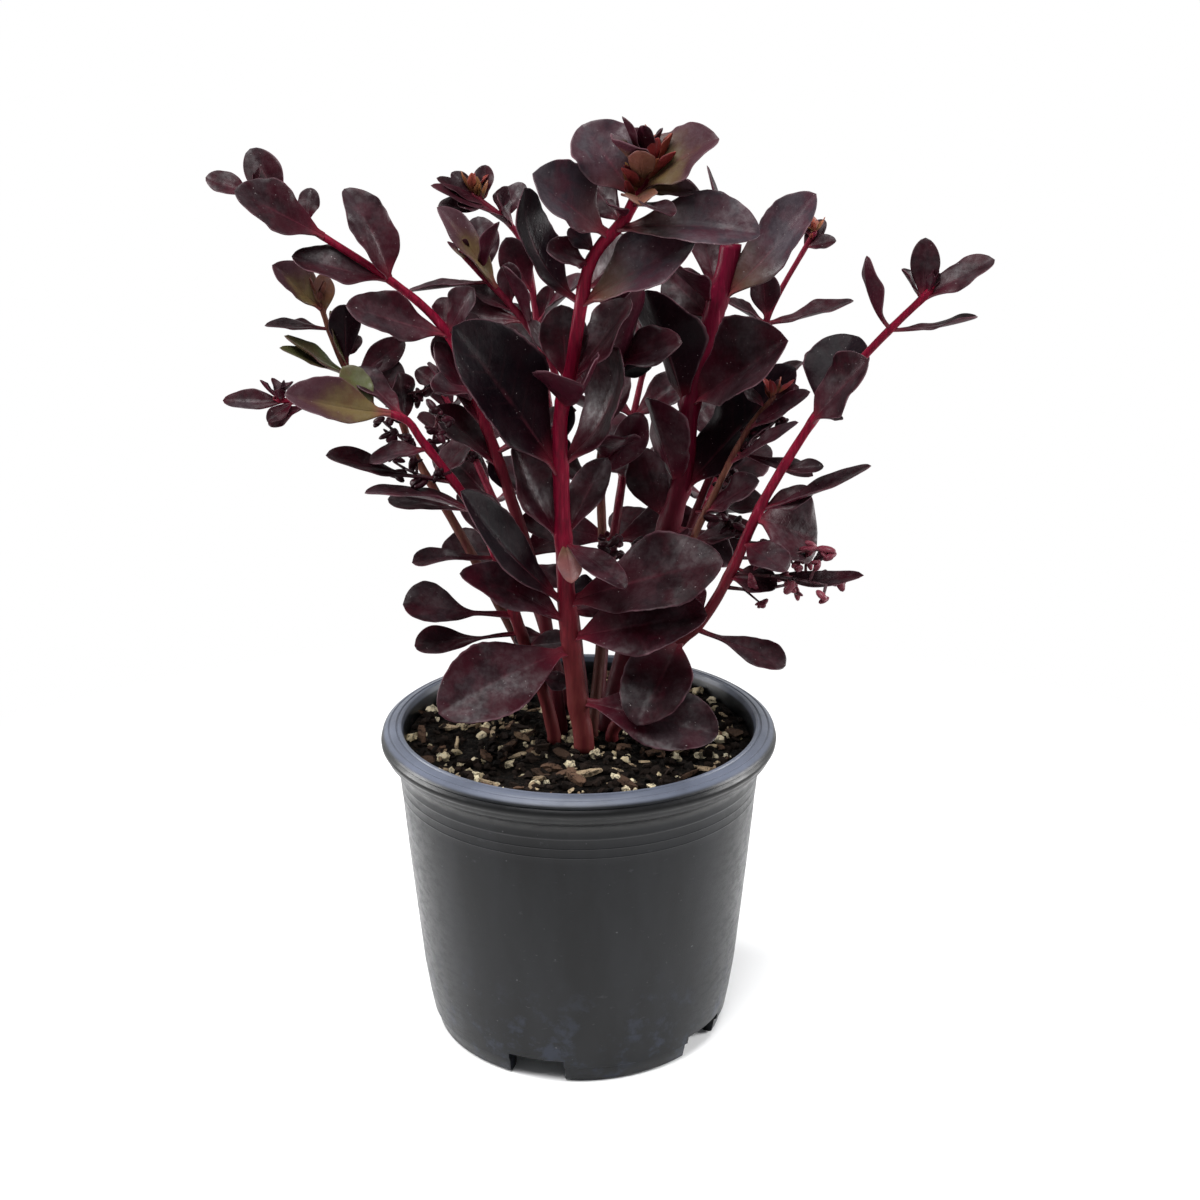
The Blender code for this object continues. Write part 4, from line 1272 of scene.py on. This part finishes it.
# ---- Making the plant ----------------------------------------------------------------------------------
# Leaflets too small to be pieces of their own: the stem, and the leaflet.
LEAFLETS = [
    ("upper_left", Leaf(0.27, 350, -35, 12, 9)),
    ("upper_left", Leaf(0.39, 170, 60, 11, 7, tone=NEAR_BLACK)),
    ("middle", Leaf(0.36, 180, -5, 10, 10, tone=NEAR_BLACK)),
    ("middle", Leaf(0.85, 20, 15, 16, 10, tone=NEAR_BLACK)),
    ("left", Leaf(0.15, 0, -20, 9, 8)),
    ("left", Leaf(0.22, 350, 10, 14, 10)),
    ("upper_left", Leaf(0.16, 180, -10, 10, 8)),
    ("front", Leaf(0.365, 285, -50, 14, 9, turn=0, bend=10, tone=PINK)),
    ("brown_left", Leaf(0.82, 195, 25, 27, 9, turn=20, tone=GREEN)),
    ("brown_left", Leaf(0.95, 100, 80, 14, 8, tone=BROWN)),
    ("brown_left", Leaf(0.86, 30, 40, 10, 7)),
    ("right", Leaf(0.52, 0, 20, 18, 9)),
    ("right", Leaf(0.60, 0, 5, 13, 6)),
    ("right", Leaf(0.30, 150, 60, 13, 8)),
    ("front", Leaf(0.945, 350, 0, 17, 8, cup=0.4, tone=OLIVE)),
    ("front", Leaf(0.83, 170, 40, 10, 9, tone=DUSKY_WITH_SHEEN)),
    ("front", Leaf(0.52, 60, 75, 14, 7, tone=NEAR_BLACK)),
    ("thin_left", Leaf(0.86, 100, 75, 14, 9)),
    ("back_left", Leaf(0.72, 30, 70, 14, 8)),
    ("back_far_left", Leaf(0.98, 150, 30, 12, 8)),
]
# Flowering twigs: the stem, the share of it where they start, heading, rise, length and the buds' tone.
SPRAYS = [
    ("right", 0.36, 350, 5, 38, FLOWER),
    ("right", 0.42, 340, 15, 32, FLOWER),
    ("right", 0.39, 355, 2, 36, FLOWER),
    ("right", 0.45, 5, 5, 26, MAROON),
    ("bud_branch", 0.80, 20, 30, 20, MAROON),
    ("bud_branch", 0.62, 10, 10, 14, MAROON),
    ("far_right", 0.50, 350, -30, 15, MAROON),
    ("middle", 0.45, 300, 30, 18, MAROON),
    ("middle", 0.40, 20, 20, 18, MAROON),
    ("tall_right", 0.38, 180, 10, 14, MAROON),
    ("brown_left", 0.62, 200, 50, 18, MAROON),
    ("brown_left", 0.75, 0, 10, 20, MAROON),
    ("left", 0.66, 110, 50, 16, MAROON),
    ("left", 0.60, 190, 5, 22, MAROON),
    ("back_far_left", 0.75, 180, 30, 14, MAROON),
    ("thin_left", 0.50, 190, 35, 18, MAROON),
]
# How far the seeds of one stem's leaves lie from the next one's, where its small leaves start in them, and
# where the twigs' seeds start.
STEM_SEEDS = 100
SMALL_SEEDS = 50
TWIG_SEEDS = 40


def plant(leaf_skin, stem_skin):
    """Every stem, its large leaves one by one, and its small leaves together."""
    for order, (label, stem) in enumerate(STEMS.items()):
        line = stem_line(stem)
        seed = order * STEM_SEEDS
        tube = new_maker()
        stem_tube(tube, stem, line, order * 7.0)
        finished(tube, f"stalk_{label}", stem_skin, "stem_crimson", [f"stem_{label}"])
        for index, leaf in enumerate(stem.leaves):
            blade = new_maker()
            leaf_blade(blade, leaf, stem, line, seed + index, LARGE_GRID)
            node = f"leaf_{label}_{index + 1}"
            finished(blade, f"blade_{label}_{index + 1}", leaf_skin, SLOTS[node], [node])
        small = new_maker()
        tuft = tuft_leaves(*stem.tuft, order) if stem.tuft else []
        leaflets = [leaf for grown_on, leaf in LEAFLETS if grown_on == label]
        for index, leaf in enumerate([*stem.shoots, *tuft, *leaflets]):
            leaf_blade(small, leaf, stem, line, seed + SMALL_SEEDS + index, SMALL_GRID)
        finished(small, f"small_leaves_{label}", leaf_skin, "leaf_maroon", [f"stem_{label}"])
    for order, (label, at, heading, rise, length, tone) in enumerate(SPRAYS):
        twigs = new_maker()
        start = point_along(stem_line(STEMS[label]), at)[0]
        spray(twigs, start, math.radians(heading), math.radians(rise), length, tone, TWIG_SEEDS + order)
        finished(twigs, f"flower_twig_{order + 1}", leaf_skin, "leaf_maroon", [f"stem_{label}"])


# ---- Studio --------------------------------------------------------------------------------------------
CAMERA_PLACE = Vector((7.7, -661.4, 393.1))
CAMERA_PITCH = 19.12
LENS = 58.9
SENSOR_WIDTH = 36.0
# In metres; the floor lies a hair under the pot, so that the two never share a plane.
FLOOR_HALF = 3.0
FLOOR_DROP = 0.0002
# Each lamp's place and what it shines on, in millimetres, its width in metres and its watts.
LAMPS = [
    ("lamp_over", (-150, -300, 1250), (0, 0, 120), 1.0, 32.0),
    ("lamp_left", (-1100, 150, 420), (0, 0, 150), 0.6, 22.0),
    ("lamp_right", (1100, 150, 420), (0, 0, 150), 0.6, 22.0),
]


def white_room():
    """A soft sky that shows as plain white to the camera and in reflections."""
    world = bpy.data.worlds.new("white_room")
    bpy.context.scene.world = world
    world.use_nodes = True
    world.node_tree.nodes.clear()
    room = Tree(world.node_tree)
    rays = room.add("ShaderNodeLightPath")
    seen = room.sum_of("MAXIMUM", rays["Is Camera Ray"], rays["Is Transmission Ray"])
    seen = room.sum_of("MAXIMUM", seen, rays["Is Glossy Ray"])
    sky = room.add("ShaderNodeBackground", {"Color": (0.93, 0.96, 1.0), "Strength": 0.27})["Background"]
    white = room.add("ShaderNodeBackground", {"Color": (1.0, 1.0, 1.0)})["Background"]
    mixed = room.add("ShaderNodeMixShader", {0: seen, 1: sky, 2: white})["Shader"]
    room.add("ShaderNodeOutputWorld", {"Surface": mixed})


def camera():
    """The camera, level sideways and looking down a little."""
    eye = bpy.data.cameras.new("camera")
    eye.lens = LENS
    eye.sensor_width = SENSOR_WIDTH
    stand = linked("camera", eye)
    stand.location = to_frame(CAMERA_PLACE)
    stand.rotation_euler = (math.radians(90 - CAMERA_PITCH), 0, 0)
    bpy.context.scene.camera = stand


def floor():
    """The pale floor that the pot stands on."""
    sheet = bmesh.new()
    bmesh.ops.create_grid(sheet, x_segments=1, y_segments=1, size=FLOOR_HALF)
    ground = object_of(sheet, "floor")
    ground.data.materials.append(floor_finish())
    ground.location = (POT_AXIS.x, POT_AXIS.y, -FLOOR_DROP)


def lamps():
    """One large lamp overhead and one at each side."""
    for name, spot, aim, size, power in LAMPS:
        light = bpy.data.lights.new(name, "AREA")
        light.shape = "DISK"
        light.size = size
        light.energy = power
        lamp = linked(name, light)
        lamp.location = to_frame(Vector(spot))
        way = Vector(aim) - Vector(spot)
        lamp.rotation_euler = way.to_track_quat("-Z", "Y").to_euler()


def loose_bits():
    """What lies on the mix, each kind in its own two colours and the colour of its spots."""
    bark = loose_finish(
        "bark_bits", (0.095, 0.055, 0.036), (0.012, 0.007, 0.005), (0.050, 0.030, 0.019), 0.85
    )
    wood = loose_finish(
        "wood_slivers", (0.360, 0.280, 0.180), (0.090, 0.058, 0.036), (0.220, 0.160, 0.100), 0.85
    )
    grit = loose_finish("perlite", (0.560, 0.490, 0.340), (0.260, 0.205, 0.120), (0.700, 0.650, 0.520), 0.9)
    crumbs = loose_finish(
        "peat_crumbs", (0.014, 0.009, 0.007), (0.0012, 0.0010, 0.0009), (0.005, 0.0035, 0.003), 0.95
    )
    scatter("crumbs", crumbs, 1100, (1.4, 5.5), (0.4, 0.9), (0.4, 0.9), 5, 0.25)
    scatter("bark_chips", bark, 70, (3.0, 8.5), (0.30, 0.70), (0.20, 0.40), 6, 0.15, chip=True)
    scatter("wood_slivers", wood, 110, (2.5, 8.0), (0.20, 0.50), (0.15, 0.30), 7, 0.15, chip=True)
    scatter("long_slivers", wood, 8, (11.0, 17.0), (0.18, 0.28), (0.12, 0.20), 12, 0.10, chip=True)
    scatter("perlite_grains", grit, 170, (2.0, 5.8), (0.55, 0.95), (0.5, 0.9), 8, 0.35, lumps=2)


def main():
    """The potted plant, then the studio around it."""
    plant(leaf_finish(), stem_finish())
    nursery_pot(pot_finish())
    potting_mix(soil_finish())
    loose_bits()
    bpy.context.scene.view_settings.view_transform = "Standard"
    camera()
    white_room()
    floor()
    lamps()


main()
